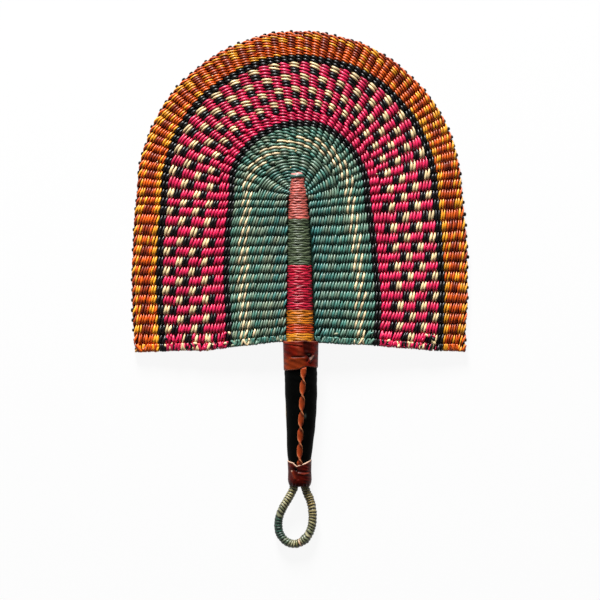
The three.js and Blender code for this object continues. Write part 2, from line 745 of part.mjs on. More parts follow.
bands.forEach(([name, ribs, innerAt, outerAt, material], i) => {
  const innerGap = i === 0 ? 0 : CLEARANCE / 2;
  const outerGap = i === bands.length - 1 ? 0 : CLEARANCE / 2;
  const geometry = wovenBand(ribs, shifted(innerAt, innerGap), shifted(outerAt, -outerGap));
  place(blade, name, geometry, material);
});

// Straw wound round the spine, from its tip to the collar
const windings = [
  ["salmon_winding", SALMON_TURNS, 1, salmonStraw],
  ["green_winding", GREEN_TURNS, 1, greenStraw],
  ["crimson_winding", CRIMSON_TURNS, 1, crimsonStraw],
  ["amber_winding", AMBER_TURNS, SPINE_SIDES / 2, amberStraw],
];
let nextSpace = -1;
windings.forEach(([name, turns, stepsLeftOff, material]) => {
  const { geometry, gap } = spineWinding(nextSpace, turns, stepsLeftOff);
  console.log(`${name}: least gap to itself ${gap.toFixed(2)} mm`);
  place(handle, name, geometry, material);
  nextSpace += turns;
});

// Leather handle
const sleeveRows = Array.from({ length: HANDLE_SIDES + 1 }, (_, i) => (y) => {
  const halfGap = SEAM_GAP / 2 / sleeveHalves(y).width;
  return seamAngle(y) + lerp(halfGap, 2 * Math.PI - halfGap, i / HANDLE_SIDES);
});
const sleevePlaces = () => [SLEEVE_TOP, COLLAR_FOOT, ...swellPlaces, FERRULE_TOP, SLEEVE_FOOT];
place(handle, "handle_sleeve", leatherShell(sleeveRows, sleevePlaces, sleeveHalves, false), blackLeather);

const collarPlaces = (angle) => [
  COLLAR_TOP,
  SLEEVE_TOP,
  COLLAR_FOOT + notchDepth(angle, seamAngle(COLLAR_FOOT)),
];
place(handle, "top_collar", leatherShell(cuffRows(), collarPlaces, collarHalves, true), brownLeather);

const ferrulePlaces = (angle) => [
  FERRULE_TOP - notchDepth(angle, seamAngle(FERRULE_TOP)),
  SLEEVE_FOOT,
  FERRULE_FOOT,
];
place(handle, "bottom_ferrule", leatherShell(cuffRows(), ferrulePlaces, ferruleHalves, true), brownLeather);

const laceTop = COLLAR_FOOT + CUFF_NOTCH - 2 * CLEARANCE;
const laceFoot = FERRULE_TOP - CUFF_NOTCH + 2 * CLEARANCE;
const lacing = thong(LACE_STITCHES, laceTop, laceFoot, seamAngle, sleeveHalves, LACE_WIDTH, LACE_WAIST);
place(handle, "seam_lacing", lacing, tanLeather);

function tuckedEnd(angle, middle, halvesAt) {
  const [top, foot] = [middle + TAB_LENGTH / 2, middle - TAB_LENGTH / 2];
  return thong(1, top, foot, () => degToRad(angle), halvesAt, TAB_WIDTH, LACE_WAIST);
}
const collarTab = tuckedEnd(COLLAR_TAB_ANGLE, (COLLAR_TOP + COLLAR_FOOT) / 2, collarHalves);
place(handle, "collar_tab", collarTab, brownLeather);
const ferruleTab = tuckedEnd(FERRULE_TAB_ANGLE, (FERRULE_TOP + SLEEVE_FOOT) / 2, ferruleHalves);
place(handle, "ferrule_tab", ferruleTab, brownLeather);

// Hanging loop
place(loop, "loop_cord", cordCore(), bareStraw);
const { geometry: loopStraw, gap: loopGap } = cordWinding();
console.log(`loop_winding: least gap to itself ${loopGap.toFixed(2)} mm`);
place(loop, "loop_winding", loopStraw, cordStraw);

export default fan;
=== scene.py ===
import bpy
import numpy as np
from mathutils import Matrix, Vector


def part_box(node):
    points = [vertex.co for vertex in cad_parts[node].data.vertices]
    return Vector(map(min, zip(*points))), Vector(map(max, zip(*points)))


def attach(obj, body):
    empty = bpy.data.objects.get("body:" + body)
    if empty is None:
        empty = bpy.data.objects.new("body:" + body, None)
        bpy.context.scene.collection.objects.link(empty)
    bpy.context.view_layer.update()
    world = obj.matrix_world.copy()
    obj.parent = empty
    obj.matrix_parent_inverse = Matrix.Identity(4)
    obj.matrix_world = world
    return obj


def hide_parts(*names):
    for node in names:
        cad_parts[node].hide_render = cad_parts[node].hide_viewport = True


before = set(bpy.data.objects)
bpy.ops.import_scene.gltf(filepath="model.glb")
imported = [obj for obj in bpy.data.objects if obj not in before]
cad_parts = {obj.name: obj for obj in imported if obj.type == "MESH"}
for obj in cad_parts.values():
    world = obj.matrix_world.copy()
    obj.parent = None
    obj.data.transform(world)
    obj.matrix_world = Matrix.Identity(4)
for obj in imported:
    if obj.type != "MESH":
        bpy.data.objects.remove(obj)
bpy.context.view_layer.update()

# The view
# The fan lies face up and is seen from straight above, its handle towards the bottom of the picture.
# One picture width is half a metre at the height of the weave.
eye = bpy.data.objects.new("eye", bpy.data.cameras.new("eye"))
bpy.context.scene.collection.objects.link(eye)
SENSOR_WIDTH = 36
EYE_DISTANCE, PICTURE_WIDTH = 1.6, 0.5
eye.location = (0.0004, -0.0347, 1.605)
eye.data.sensor_width = SENSOR_WIDTH
eye.data.lens = SENSOR_WIDTH * EYE_DISTANCE / PICTURE_WIDTH
bpy.context.scene.camera = eye
bpy.context.scene.view_settings.view_transform = "Standard"

# Hanging loop
# A grass cord bent into a teardrop, both ends pushed up into the ferrule. It is whipped from end to end
# with single straws, olive and natural ones at the top and teal ones over the lower left of the bend.
rng = np.random.default_rng(7)


def linear(*hexes):
    """sRGB hex colours as linear ones: a twelfth of a dark value, else ((c + 0.055) / 1.055) to the 2.4."""
    srgb = np.array([[int(h[i:i + 2], 16) for i in (1, 3, 5)] for h in hexes]) / 255
    return np.where(srgb <= 0.04045, srgb / 12.92, ((srgb + 0.055) / 1.055) ** 2.4)


def node(tree, kind, inputs, **settings):
    """Adds a node of this kind with these properties. Of its inputs, sockets are linked and values set."""
    made = tree.nodes.new("ShaderNode" + kind)
    for name, value in settings.items():
        setattr(made, name, value)
    for name, value in inputs.items():
        if isinstance(value, bpy.types.NodeSocket):
            tree.links.new(value, made.inputs[name])
        else:
            made.inputs[name].default_value = value
    return made


def blank_material(name):
    """A new material and its emptied node tree."""
    made = bpy.data.materials.new(name)
    made.use_nodes = True
    made.node_tree.nodes.clear()
    return made, made.node_tree


def blend(colour, other, weight):
    """A colour moved towards another by a weight at each point: none at 0, all the way at 1."""
    return colour + weight[..., None] * (other - colour)


def spread(tree, noise, low, high):
    """The middle of a noise's range, from 0.3 to 0.7, spread out between two values."""
    return node(tree, "MapRange", {"Value": noise.outputs["Fac"], "From Min": 0.3, "From Max": 0.7,
                                   "To Min": low, "To Max": high}).outputs["Result"]


def round_angles(sides):
    """The angles of so many points, spaced evenly round a circle."""
    return np.linspace(0, 2 * np.pi, sides, endpoint=False)


def unit(vectors):
    """Each vector divided by its length."""
    return vectors / np.linalg.norm(vectors, axis=-1, keepdims=True)


def carry(middles, across, out, outline):
    """A profile carried along a path: round each middle, the outline's two columns along across and out."""
    return (middles[..., None, :] + outline[..., :1] * across[..., None, :]
            + outline[..., 1:] * out[..., None, :])


def put(name, rings, dye, material, strips=1):
    """Makes a piece of closed tubes from rings of points in millimetres, shaped (tubes, rows, sides, 3).
    Quads join each ring to the next, and quads between opposite points close the ends. dye is each point's
    colour. The map straw holds millimetres along and round a tube, and the map OFBake lays the tubes out
    side by side, each cut into so many strips."""
    tubes, rows, sides = rings.shape[:3]
    index = np.arange(tubes * rows * sides).reshape(tubes, rows, sides)
    beside = np.roll(index, -1, axis=2)
    walls = np.stack([index[:, :-1], beside[:, :-1], beside[:, 1:], index[:, 1:]], axis=-1)
    half = np.arange(sides // 2 - 1)
    cap = np.stack([half, half + 1, sides - 2 - half, sides - 1 - half], axis=-1)
    ends = np.concatenate([index[:, 0][:, cap[:, ::-1]], index[:, -1][:, cap]])
    quads = np.concatenate([walls.reshape(-1, 4), ends.reshape(-1, 4)])
    mesh = bpy.data.meshes.new(name)
    mesh.vertices.add(index.size)
    mesh.vertices.foreach_set("co", (rings * 0.001).astype(np.float32).ravel())
    mesh.loops.add(quads.size)
    mesh.loops.foreach_set("vertex_index", quads.astype(np.int32).ravel())
    mesh.polygons.add(len(quads))
    mesh.polygons.foreach_set("loop_start", np.arange(0, quads.size, 4, dtype=np.int32))
    mesh.update(calc_edges=True)
    mesh.shade_smooth()

    tube = np.arange(tubes)[:, None, None, None]
    row = np.arange(rows - 1)[None, :, None, None]
    column = np.arange(sides)[None, None, :, None] + np.array([0, 1, 1, 0])
    corner_row = row + np.array([0, 0, 1, 1])
    middles = rings.mean(axis=2)
    steps = np.linalg.norm(np.diff(middles, axis=1), axis=-1)
    run = np.concatenate([np.zeros((tubes, 1)), np.cumsum(steps, axis=1)], axis=1)
    girth = np.linalg.norm(rings - np.roll(rings, -1, axis=2), axis=-1).sum(axis=2).mean()
    strip_rows = -(-(rows - 1) // strips)
    strip = row // strip_rows
    shape = (tubes, rows - 1, sides, 4)
    maps = {
        "straw": (run[tube, corner_row] + 37 * tube, girth * (column / sides + tube)),
        "OFBake": ((corner_row - strip * strip_rows) / strip_rows,
                   (tube * strips + strip + 0.05 + 0.9 * column / sides) / (tubes * strips)),
    }
    for title, (u, v) in maps.items():
        flat = np.zeros((quads.size, 2), np.float32)
        flat[:walls.size, 0] = np.broadcast_to(u, shape).ravel()
        flat[:walls.size, 1] = np.broadcast_to(v, shape).ravel()
        mesh.uv_layers.new(name=title).uv.foreach_set("vector", flat.ravel())
    colour = np.ones((tubes, rows, sides, 4), np.float32)
    colour[..., :3] = dye
    # The dye attribute holds each point's colour, with the painted shade and highlights that some pieces
    # carry.
    mesh.color_attributes.new("dye", "FLOAT_COLOR", "POINT").data.foreach_set("color", colour.ravel())
    mesh.materials.append(material)
    piece = bpy.data.objects.new(name, mesh)
    bpy.context.scene.collection.objects.link(piece)
    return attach(piece, "root")


# Dyed straw: split grass stems, rolled between the palms and dried. The skin is waxy, so it has a soft
# gloss, and the stem's fibres run along it as pale and dark streaks. Real fibres are about 0.1 mm wide,
# too fine to show, so they are drawn 0.4 mm wide and 6 mm long.
def straw_finish(name, shine):
    """Straw whose colour is the piece's dye attribute, painted shade included, with streaks, gloss and
    relief along its map.
    """
    made, tree = blank_material(name)
    place = node(tree, "UVMap", {}, uv_map="straw")
    stretch = node(tree, "Mapping", {"Vector": place.outputs["UV"], "Scale": (1 / 6, 1 / 0.4, 1)})
    streaks = node(tree, "TexNoise", {"Vector": stretch.outputs["Vector"], "Scale": 1, "Detail": 3,
                                      "Roughness": 0.65}, noise_dimensions="2D")
    dye = node(tree, "Attribute", {}, attribute_name="dye")
    shade = spread(tree, streaks, 0.72, 1.22)
    tint = node(tree, "VectorMath", {"Vector": dye.outputs["Color"], "Scale": shade}, operation="SCALE")
    gloss = spread(tree, streaks, 0.43, 0.33)
    relief = node(tree, "Bump", {"Height": streaks.outputs["Fac"], "Strength": 0.15, "Distance": 0.0002})
    skin = node(tree, "BsdfPrincipled", {
        "Base Color": tint.outputs["Vector"], "Roughness": gloss,
        "Normal": relief.outputs["Normal"], "IOR": 1.5, "Specular IOR Level": shine})
    node(tree, "OutputMaterial", {"Surface": skin.outputs["BSDF"]})
    return made


straw = straw_finish("dyed_straw", 0.5)
CORD_DIAMETER = 7
WHIPPING_PITCH = 2.5
MOST_TURNS = 200  # one random value for each
LOWEST = 0.02  # no point goes below this height
low, high = (np.array(corner) * 1000 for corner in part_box("bottom_ferrule"))
mouth = np.array([0, low[1], (low[2] + high[2]) / 2])
cord_route = mouth + np.array([
    [-4, 4, -0.1], [-4.7, -0.7, -0.4], [-6.7, -5.4, -0.8], [-9.5, -10.4, -1.4], [-12.8, -16, -2],
    [-15.5, -21.6, -2.6], [-17.2, -27.4, -3.2], [-17.6, -33.2, -3.8], [-16.6, -39, -4.2], [-13.6, -44, -4.5],
    [-9.2, -47.2, -4.6], [-4.1, -48.4, -4.6], [1, -47, -4.6], [5.4, -43.4, -4.5], [8.5, -38.5, -4.2],
    [10.3, -32.8, -3.8], [10.9, -26.8, -3.2], [10.7, -20.8, -2.6], [9.8, -15, -2], [8.2, -9.8, -1.4],
    [6.2, -5.1, -0.8], [4.7, -0.7, -0.4], [4, 4, -0.1]])


def through(points, step):
    """A smooth line through points, sampled every step: on each span a cubic whose slope at a point is that
    of the parabola through it and its two neighbours, by chord length."""
    chord = np.concatenate([[0], np.cumsum(np.linalg.norm(np.diff(points, axis=0), axis=1))])
    slope = np.gradient(points, chord, axis=0)
    at = np.linspace(0, chord[-1], int(chord[-1] / step) + 1)
    span = np.clip(np.searchsorted(chord, at, side="right") - 1, 0, len(points) - 2)
    width = (chord[span + 1] - chord[span])[:, None]
    s = (at - chord[span])[:, None] / width
    return ((1 + 2 * s) * (1 - s) ** 2 * points[span] + s * (1 - s) ** 2 * width * slope[span]
            + s * s * (3 - 2 * s) * points[span + 1] - s * s * (1 - s) * width * slope[span + 1])


cord_line = through(cord_route, WHIPPING_PITCH / 11)
cord_run = np.concatenate([[0], np.cumsum(np.linalg.norm(np.diff(cord_line, axis=0), axis=1))])
forward = unit(np.gradient(cord_line, axis=0))
aside = unit(np.cross([0, 0, 1], forward))
above = np.cross(forward, aside)
angle = round_angles(24)
lean = 0.5 * np.sin(cord_run / 9) + 0.18 * np.sin(cord_run / 3.7 + 1)
crowding = 0.1 * np.sin(cord_run / 1.9) + 0.04 * np.sin(cord_run / 1.13 + 2)
skew = 0.3 * np.sin(cord_run / 5) - 0.2
slant = 0.12 * np.sin(2 * angle) + lean[:, None] * np.sin(angle) + skew[:, None] * np.cos(angle)
turn = (cord_run / WHIPPING_PITCH + crowding)[:, None] + angle / (2 * np.pi) + slant
ridge = np.sin(np.pi * (turn % 1))
whip_number = np.floor(turn).astype(int) + 5
# New straws were spliced in right of the bend: a lump, and just before it a pale straw end.
splice_lump = 0.45 * np.exp(-((cord_run - 73) / 3) ** 2)[:, None]
splice = np.exp(-((cord_run[:, None] - 69 + 1.5 * np.sin(angle)) / 1.1) ** 4)
thick = CORD_DIAMETER / 2 - 0.6 + 0.75 * ridge ** 0.6
thick = thick + rng.normal(0, 0.1, MOST_TURNS)[whip_number] + splice_lump
outline = thick[..., None] * np.stack([np.cos(angle), np.sin(angle)], axis=-1)
# Dyes at millimetres along the cord. Pale straws lie among them, but for the plain teal stretch. Painted
# shade darkens the cord's sides and the grooves between its turns.
stops = [0, 12, 29, 36, 50, 57, 66, 76, 92, 104, 124]
olive, cream, moss, teal, sage, beige, pale_straw, straw_end = linear(
    "#807C4C", "#B0A672", "#4C6046", "#2C5848", "#667A5C", "#A89055", "#DCD2A4", "#DDB892")
stop_dyes = np.array([olive, cream, moss, teal, teal, sage, olive, sage, cream, beige, olive])
along_cord = np.stack([np.interp(cord_run, stops, stop_dyes[:, channel]) for channel in range(3)], axis=-1)
plain_teal = np.exp(-((cord_run - 43) / 13) ** 4)[:, None]
pale = rng.random(MOST_TURNS)[whip_number] ** 3 * (1 - 0.9 * plain_teal)
whip_colour = along_cord[:, None] * (0.6 + 0.55 * rng.random(MOST_TURNS)[whip_number])[..., None]
whip_colour = blend(blend(whip_colour, pale_straw, 0.75 * pale), straw_end, splice)
# Painted shade: the cord is darker on its sides and nearly black in the grooves between turns.
cord_side_shade = 0.4 + 0.85 * np.abs(np.sin(angle))
whip_colour = whip_colour * (cord_side_shade * (0.02 + 0.98 * ridge ** 1.8))[..., None]
rings = carry(cord_line, aside, above, outline)
rings[..., 2] = np.maximum(rings[..., 2], LOWEST)
loop = put("loop_whipping", rings[None], whip_colour[None], straw, strips=12)
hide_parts("loop_cord", "loop_winding")

# Stakes
# Black-dyed straw rods, the ribs of the blade. Seventeen pass through the spine, others spread from its tip,
# and finer ones are set in towards the rim, where each ends in a short cut tip.
MEETING = 60.32  # place of the arch's foot along the fan
STAKES = 17
STAKE_THICKNESS = 1.8
TIP_THICKNESS = 3.1
RIM_HEIGHT = 2.6  # of the stakes' tips
RIM_RADIUS = 135.7
SIDE_LENGTH = 135.5  # of the sides under the arch
HUB_DROP = 3.45  # from the rim circle's centre to the top rib's foot
AMBER_WIDTH, OUTER_BLACK_WIDTH, MAGENTA_WIDTH, INNER_BLACK_WIDTH = 20.3, 5.4, 49.2, 5.2
HEART_SPACES, FIELD_SPACES, RING_SPACES, CHECK_SPACES, BORDER_SPACES = 9, 18, 28, 37, 54

# Black straw is the same waxy stem. Little of a rod shows, so its streaks are plain 1 mm noise.
black_rod, tree = blank_material("black_straw_rod")
spot = node(tree, "TexCoord", {})
grain = node(tree, "TexNoise", {"Vector": spot.outputs["Object"], "Scale": 1000, "Detail": 2})
dark = node(tree, "Mix", {"Factor": grain.outputs["Fac"], 6: (*linear("#080607")[0], 1),
                          7: (*linear("#1A1516")[0], 1)}, data_type="RGBA")
relief = node(tree, "Bump", {"Height": grain.outputs["Fac"], "Strength": 0.3, "Distance": 0.0002})
skin = node(tree, "BsdfPrincipled", {
    "Base Color": dark.outputs[2], "Roughness": 0.65,
    "Normal": relief.outputs["Normal"], "IOR": 1.5, "Specular IOR Level": 0.15})
node(tree, "OutputMaterial", {"Surface": skin.outputs["BSDF"]})


def axis_height(y):
    """Height of the spine's and handle's axis at a place along the row, straight between its bends."""
    return np.interp(y, [-165.8, -94.8, -72.8, 69.8], [8.33, 10.71, 10.71, 6.5])


def rim_width(y):
    """Half width of the blade at heights above the arch's foot: the rim's circle, its centre 6.25 lower, and
    under it sides that widen by 1.9 and swell out by half a sine of 3.65."""
    down = np.maximum(-y, 0) / SIDE_LENGTH
    circle = np.sqrt(RIM_RADIUS ** 2 - (np.maximum(y, 0) + 6.25) ** 2)
    return circle + 1.9 * down + 3.65 * np.sin(np.pi * down)


def bound_spine(y):
    """Middle and half width of the bound spine at places along the blade. It widens downwards and leans."""
    middle = np.interp(y, [-129, -95, -67.5, -29.2, 6.7], [0.6, 0.4, 0.15, -0.7, -1.7])
    return middle, np.interp(y, [-133, -95, -67.5, -29.2, -8, 6.7], [11.9, 10.8, 10.2, 9.1, 7.7, 6.3])


def rib(place, spaces):
    """Foot, tip, length and spine's edge of the ribs at places counted from the lowest rib on the left: up
    the left side, over an arch of so many spaces, and down the right side. Fractions lie between ribs. On
    both sides the upper ribs rise towards the rim and the lower ones droop, more on the right. The arch's
    ribs spread from the top rib's foot, a little closer together on the right, and end on a circle whose
    centre lies the hub's drop above it. The spine's edge is an ellipse, 2.5 high, so that the innermost
    courses pass under the binding at its tip."""
    lowest = STAKES - 1
    number = np.maximum(lowest - place, 0) + np.maximum(place - lowest - spaces, 0)
    left = place < lowest + spaces / 2
    foot_y = -np.interp(number, [0, 2, 5, 15, 16, 17], [9.7, 22, 46.2, 120.8, 127.6, 131.2])
    rise = np.where(left, np.interp(number, [0, 6.5, 16, 17], [5.2, 0, -8.2, -11.2]),
                    np.interp(number, [0, 3, 9.6, 15, 17], [12.1, 6, 0, -8, -10.4]))
    side_x = np.where(left, -1, 1) * rim_width(foot_y + rise)
    share = np.clip((place - lowest) / spaces, 0, 1)
    share = share + (share - np.clip((share - 0.42) / 0.5, 0, 1)) / 36
    turn = np.radians(177.8 - 172.7 * share)
    turn = turn + 0.011 * np.sin(2 * turn)
    arch_length = HUB_DROP * np.sin(turn) + np.sqrt(RIM_RADIUS ** 2 - (HUB_DROP * np.cos(turn)) ** 2)
    across = np.where(number > 0, side_x, arch_length * np.cos(turn))
    upward = np.where(number > 0, rise, arch_length * np.sin(turn))
    reach = np.hypot(across, upward)
    foot = np.stack([0 * place, MEETING + foot_y, axis_height(MEETING + foot_y)], axis=-1)
    tip = np.stack([across, MEETING + foot_y + upward, RIM_HEIGHT + 0 * place], axis=-1)
    middle, half_width = bound_spine(foot_y)
    half_width = half_width + middle * np.sign(across)
    spine = ((across / reach / half_width) ** 2 + (upward / reach / 2.5) ** 2) ** -0.5
    return foot, tip, reach, spine + 1


def rods(places, spaces, inner, outer, thickness):
    """Six-sided rods along ribs, from a distance inside the rim to one beyond it, with a rounded tip."""
    foot, tip, reach, _ = rib(places, spaces)
    beyond = outer + 0 * reach
    rings = reach[:, None] + np.stack([0 * reach - inner, beyond - 0.9, beyond - 0.3, beyond], axis=-1)
    middles = foot[:, None] + (rings / reach[:, None])[..., None] * (tip - foot)[:, None]
    forward = np.broadcast_to(unit(tip - foot)[:, None], middles.shape)
    across = unit(np.cross([0, 0, 1], forward))
    turn = round_angles(6)
    radius = np.multiply.outer(thickness / 2 + 0 * reach, [1, 1, 0.85, 0.4])
    outline = radius[..., None, None] * np.stack([np.cos(turn), np.sin(turn)], axis=-1)
    return carry(middles, across, np.cross(forward, across), outline)


magenta_edge = AMBER_WIDTH + OUTER_BLACK_WIDTH
field_edge = magenta_edge + MAGENTA_WIDTH
teal_edge = field_edge + INNER_BLACK_WIDTH


def uneven(points):
    """Hand work is never quite even: long waves, up to half a millimetre, shift the weave in its plane.
    Below the arch the left bands lie 2 mm to the right and sag, and the right ones lean out towards the
    bottom. Each shift fades like a bell to either side, and over the shoulders of the arch."""
    x, y = points[..., 0], points[..., 1]
    right = 0.3 * np.sin(y / 17 + 1.3) * np.cos(x / 23) + 0.2 * np.sin(y / 7.3 + x / 11)
    up = 0.35 * np.sin(x / 13 + 0.4) * np.cos(y / 19 + 0.9) + 0.25 * np.sin(x / 6.1 - y / 14)
    below = 1 / (1 + np.exp((y - 62) / 6))
    right = right + 2.1 * below * np.exp(-((x + 70) / 42) ** 2)
    shoulder = 1 / (1 + np.exp((y - 112) / 12))
    lean = 0.6 - 0.07 * y
    right = right + np.clip(lean, 0, 3.9) * np.exp(-((x - 78) / 48) ** 2)
    right = right + np.clip(lean, -2.6, 0) * shoulder * np.exp(-((x - 52) / 26) ** 2)
    up = up - 2.1 * below * np.exp(-((x + 86) / 36) ** 2)
    return points + np.stack([right, up, 0 * x], axis=-1)


arch = STAKES - 1
crossing = np.concatenate([np.arange(STAKES), arch + BORDER_SPACES + np.arange(STAKES)])
for title, places, spaces, inner, outer in [
    ("cross_stake", crossing, BORDER_SPACES, 128, -1.5),
    ("crown_stake", arch + np.arange(1, HEART_SPACES), HEART_SPACES, 124, -field_edge),
    ("arch_stake", arch + np.arange(1, FIELD_SPACES, 2), FIELD_SPACES, teal_edge + 34, -field_edge),
]:
    stakes = put(title + "s", uneven(rods(places, spaces, inner, outer, STAKE_THICKNESS)),
                 linear("#1C1818"), black_rod)
    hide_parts(*[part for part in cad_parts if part.startswith(title)])

ends = np.arange(2 * STAKES + BORDER_SPACES - 1)
fine_rods = np.concatenate([
    rods(arch + np.arange(1, RING_SPACES), RING_SPACES, teal_edge + 6, 7 - field_edge, STAKE_THICKNESS),
    rods(arch + np.arange(1, CHECK_SPACES), CHECK_SPACES, field_edge - 8, -magenta_edge, STAKE_THICKNESS),
    rods(arch + np.arange(1, BORDER_SPACES), BORDER_SPACES, magenta_edge, -1.5, STAKE_THICKNESS),
    rods(ends, BORDER_SPACES, 2.5, rng.normal(0.65, 0.4, len(ends)),
         TIP_THICKNESS * rng.uniform(0.85, 1.15, len(ends))),
])
fine_stakes = put("fine_stakes", uneven(fine_rods), linear("#1C1818"), black_rod)

# Woven bands
# Pairs of dyed straws twined across the stakes: at each stake one straw of the pair passes in front and the
# other behind, and they cross in the valley before the next. Fifty-three courses run from the left edge over
# the arch to the right edge. The draft of each band gives both straws' colours from the rim inwards.
WEFT_RISE = 2.2
WEFT_LEAN = 0.35
TEAL_LEAN = 0.38
WEFT_LAP = 0.38  # how far a straw stays in front past the valleys
ROWS_A_STAKE = 7
WEFT_SIDES = 8
yellow, orange, rust, brown = linear("#F6A828", "#E66416", "#BC4610", "#963618")
magenta, natural, black = linear("#E4265A", "#F0D4A0", "#0A0708")
teal, deep_teal, grey_green, light_natural = linear("#4A8172", "#337470", "#8E957A", "#F0D6AA")


def signed_power(values, exponent):
    """Values to a power, with their signs kept."""
    return np.sign(values) * np.abs(values) ** exponent


def weave(name, spaces, outer, inner, courses, first, draft, mixed, lean=WEFT_LEAN):
    """One band. A course's line crosses the ribs at even shares of the way from the band's outer to its
    inner edge, or to the spine. Its two straws wind round that line by half a turn a rib. A straw's step
    inwards is the sine of its angle to the 1.3. Its height is a cosine raised by the lap and stretched back
    to reach from -1 to 1, so it stays in front a little past the valleys and shows as a slanted leaf over
    every other rib. Its section is an oval, widest on the rib. Past the last rib of either side the straws
    turn round its stake and their ends lie back over it. draft gives the colours, (courses, 2, 3), mixed
    changes them from rib to rib, and lean is the straws' slant as a share of the courses' pitch."""
    count = len(draft)
    ribs = 2 * STAKES + spaces - 1
    # Each straw runs 0.8 of a rib past the last one and folds back as far.
    turned = np.linspace(-1.6, ribs + 0.6, int((ribs + 2.2) * ROWS_A_STAKE) + 1)
    turned = turned + 0.035 * np.sin(2 * np.pi * turned)
    folded = np.maximum(-0.8 - turned, 0) - np.maximum(turned - ribs + 0.2, 0)
    turned = np.clip(turned, -0.8, ribs - 0.2)
    place = np.clip(turned, -0.3, ribs - 0.7) + folded
    foot, tip, reach, spine = rib(place, spaces)
    rim_side = reach - outer
    spine_side = spine if inner is None else reach - inner
    pitch = (rim_side - spine_side) / courses
    share = (first + np.arange(count) + 0.5) / courses
    at = (rim_side + (spine_side - rim_side) * share[:, None])[:, None]
    edge = np.minimum(np.arange(ribs), ribs - 1 - np.arange(ribs))
    loose = 1 + 1.1 * (edge < 2)
    lean = np.broadcast_to(lean, count)[:, None, None]

    def jitter(size):
        """A random value at each straw's ribs, drawn out straight between them, larger at the selvages."""
        values = rng.normal(0, size, (count, 2, ribs)) * loose
        low = np.clip(np.floor(place).astype(int), 0, ribs - 2)
        part = np.clip(place - low, 0, 1)
        return values[..., low] * (1 - part) + values[..., low + 1] * part

    turn = np.pi * (turned + np.array([[0], [1]]) + jitter(0.045))
    over = (np.cos(turn) + WEFT_LAP) / (1 + WEFT_LAP)
    front = np.where(over > 0, over, over * (1 + WEFT_LAP) / (1 - WEFT_LAP))
    full = np.abs(front)
    swing = signed_power(np.sin(turn), 1.3)
    at = at - pitch * (lean + jitter(0.06)) * swing + jitter(0.13)
    at = at + np.abs(folded) * rng.normal(0, 2.2, (count, 2, 1))
    rise = WEFT_RISE * front * (1 + jitter(0.05)) + 0.1
    middles = foot + (at / reach)[..., None] * (tip - foot)
    middles[..., 2] += rise + 0.7 * np.sin(np.pi * np.abs(folded)) * np.sign(front)
    forward = unit(np.gradient(middles, axis=2))
    across = unit(np.cross([0, 0, 1], forward))
    out = np.cross(forward, across)
    wide = pitch * (0.06 + 0.39 * full ** 0.7) * (1 + jitter(0.08))
    deep = (0.55 + 0.5 * full) * (1 + jitter(0.05))
    round_it = round_angles(WEFT_SIDES)
    outline = np.stack([wide[..., None] * np.cos(round_it), deep[..., None] * np.sin(round_it)], axis=-1)
    rings = uneven(carry(middles, across, out, outline))
    rings[..., 2] = np.maximum(rings[..., 2], LOWEST)

    # At the selvages a stitch may take another course's dye, oftener on the left. Every stitch varies in
    # shade at random, is darkened by painted shade where it dips, and is darker over the arch.
    stitches = (count, 2, ribs)
    colour = np.broadcast_to(draft[:, :, None], (*stitches, 3))
    stray_chance = np.where(np.arange(ribs) < ribs / 2, 0.25, 0.08)
    stray = (edge < 2) & (rng.random(stitches) < stray_chance)
    other = draft[rng.integers(0, count, stitches), rng.integers(0, 2, stitches)]
    colour = mixed(np.where(stray[..., None], other, colour), rng.random(stitches))
    colour = colour * (0.75 + 0.5 * rng.random(stitches))[..., None]
    colour = colour[:, :, np.clip(np.round(turned).astype(int), 0, ribs - 1)]
    # Painted shade: the colour deepens where the straw dips towards the valleys.
    colour = colour ** (1.15 - 0.15 * full)[..., None]
    over_arch = np.clip((place - STAKES + 1) / spaces, 0, 1)
    colour = colour * (1 - 0.2 * np.sin(np.pi * over_arch))[:, None]
    return put(name, rings.reshape(count * 2, len(turned), WEFT_SIDES, 3),
               colour.reshape(count * 2, len(turned), 1, 3), straw, strips=6)


def as_dyed(colour, chance):
    """The straws' own colours."""
    return colour


def is_dye(colour, dye):
    """Where a colour is this dye."""
    return np.abs(colour - dye).sum(axis=-1) < 1e-6


def border_mix(colour, chance):
    """Over the arch the border has a draft of its own. Yellow and orange stitches change places here and
    there, some orange ones are rust, and towards the right brown ones turn to rust or orange. Painted light
    brightens the left side and painted shade darkens the right."""
    ribs = colour.shape[2]
    over_arch = np.exp(-((np.arange(ribs) - ribs / 2) / (0.2 * ribs)) ** 6)
    colour = np.where((chance < over_arch)[..., None], arch_draft[:, :, None], colour)
    dice = rng.random(chance.shape)
    was_yellow, was_orange, was_brown = (is_dye(colour, dye) for dye in (yellow, orange, brown))
    colour = np.where((was_yellow & (dice < 0.2 + 0.25 * over_arch))[..., None], orange, colour)
    colour = np.where((was_orange & (dice < 0.1))[..., None], yellow, colour)
    colour = np.where((was_orange & (dice > 0.74))[..., None], rust, colour)
    rightwards = np.linspace(0, 0.25, ribs)
    colour = np.where((was_brown & (dice < rightwards))[..., None], rust, colour)
    colour = np.where((was_brown & (dice > 1 - 0.6 * rightwards))[..., None], orange, colour)
    # Painted light on the left side, fading to painted shade on the right.
    return colour * np.linspace(1.13, 0.87, ribs)[:, None]


def teal_mix(colour, chance):
    """Teal shades into grey-green from stitch to stitch, more on the left side than on the right."""
    left = np.linspace(1, 0.5, colour.shape[2])
    grey = ~is_dye(colour, light_natural) * left * chance ** 1.5
    return blend(colour, grey_green, grey)


border_draft = np.array([
    (yellow, orange), (yellow, yellow), (yellow, orange), (brown, orange), (brown, orange),
    (brown, orange), (orange, orange), (yellow, yellow), (yellow, yellow)])
arch_draft = np.array([
    (orange, orange), (yellow, yellow), (brown, yellow), (brown, yellow), (brown, yellow),
    (brown, orange), (orange, orange), (orange, orange), (orange, orange)])
border = weave("amber_weft", BORDER_SPACES, 0.8, AMBER_WIDTH, 9, 0, border_draft, border_mix,
               np.array([0.6] + [WEFT_LEAN] * 8))
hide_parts("amber_border")

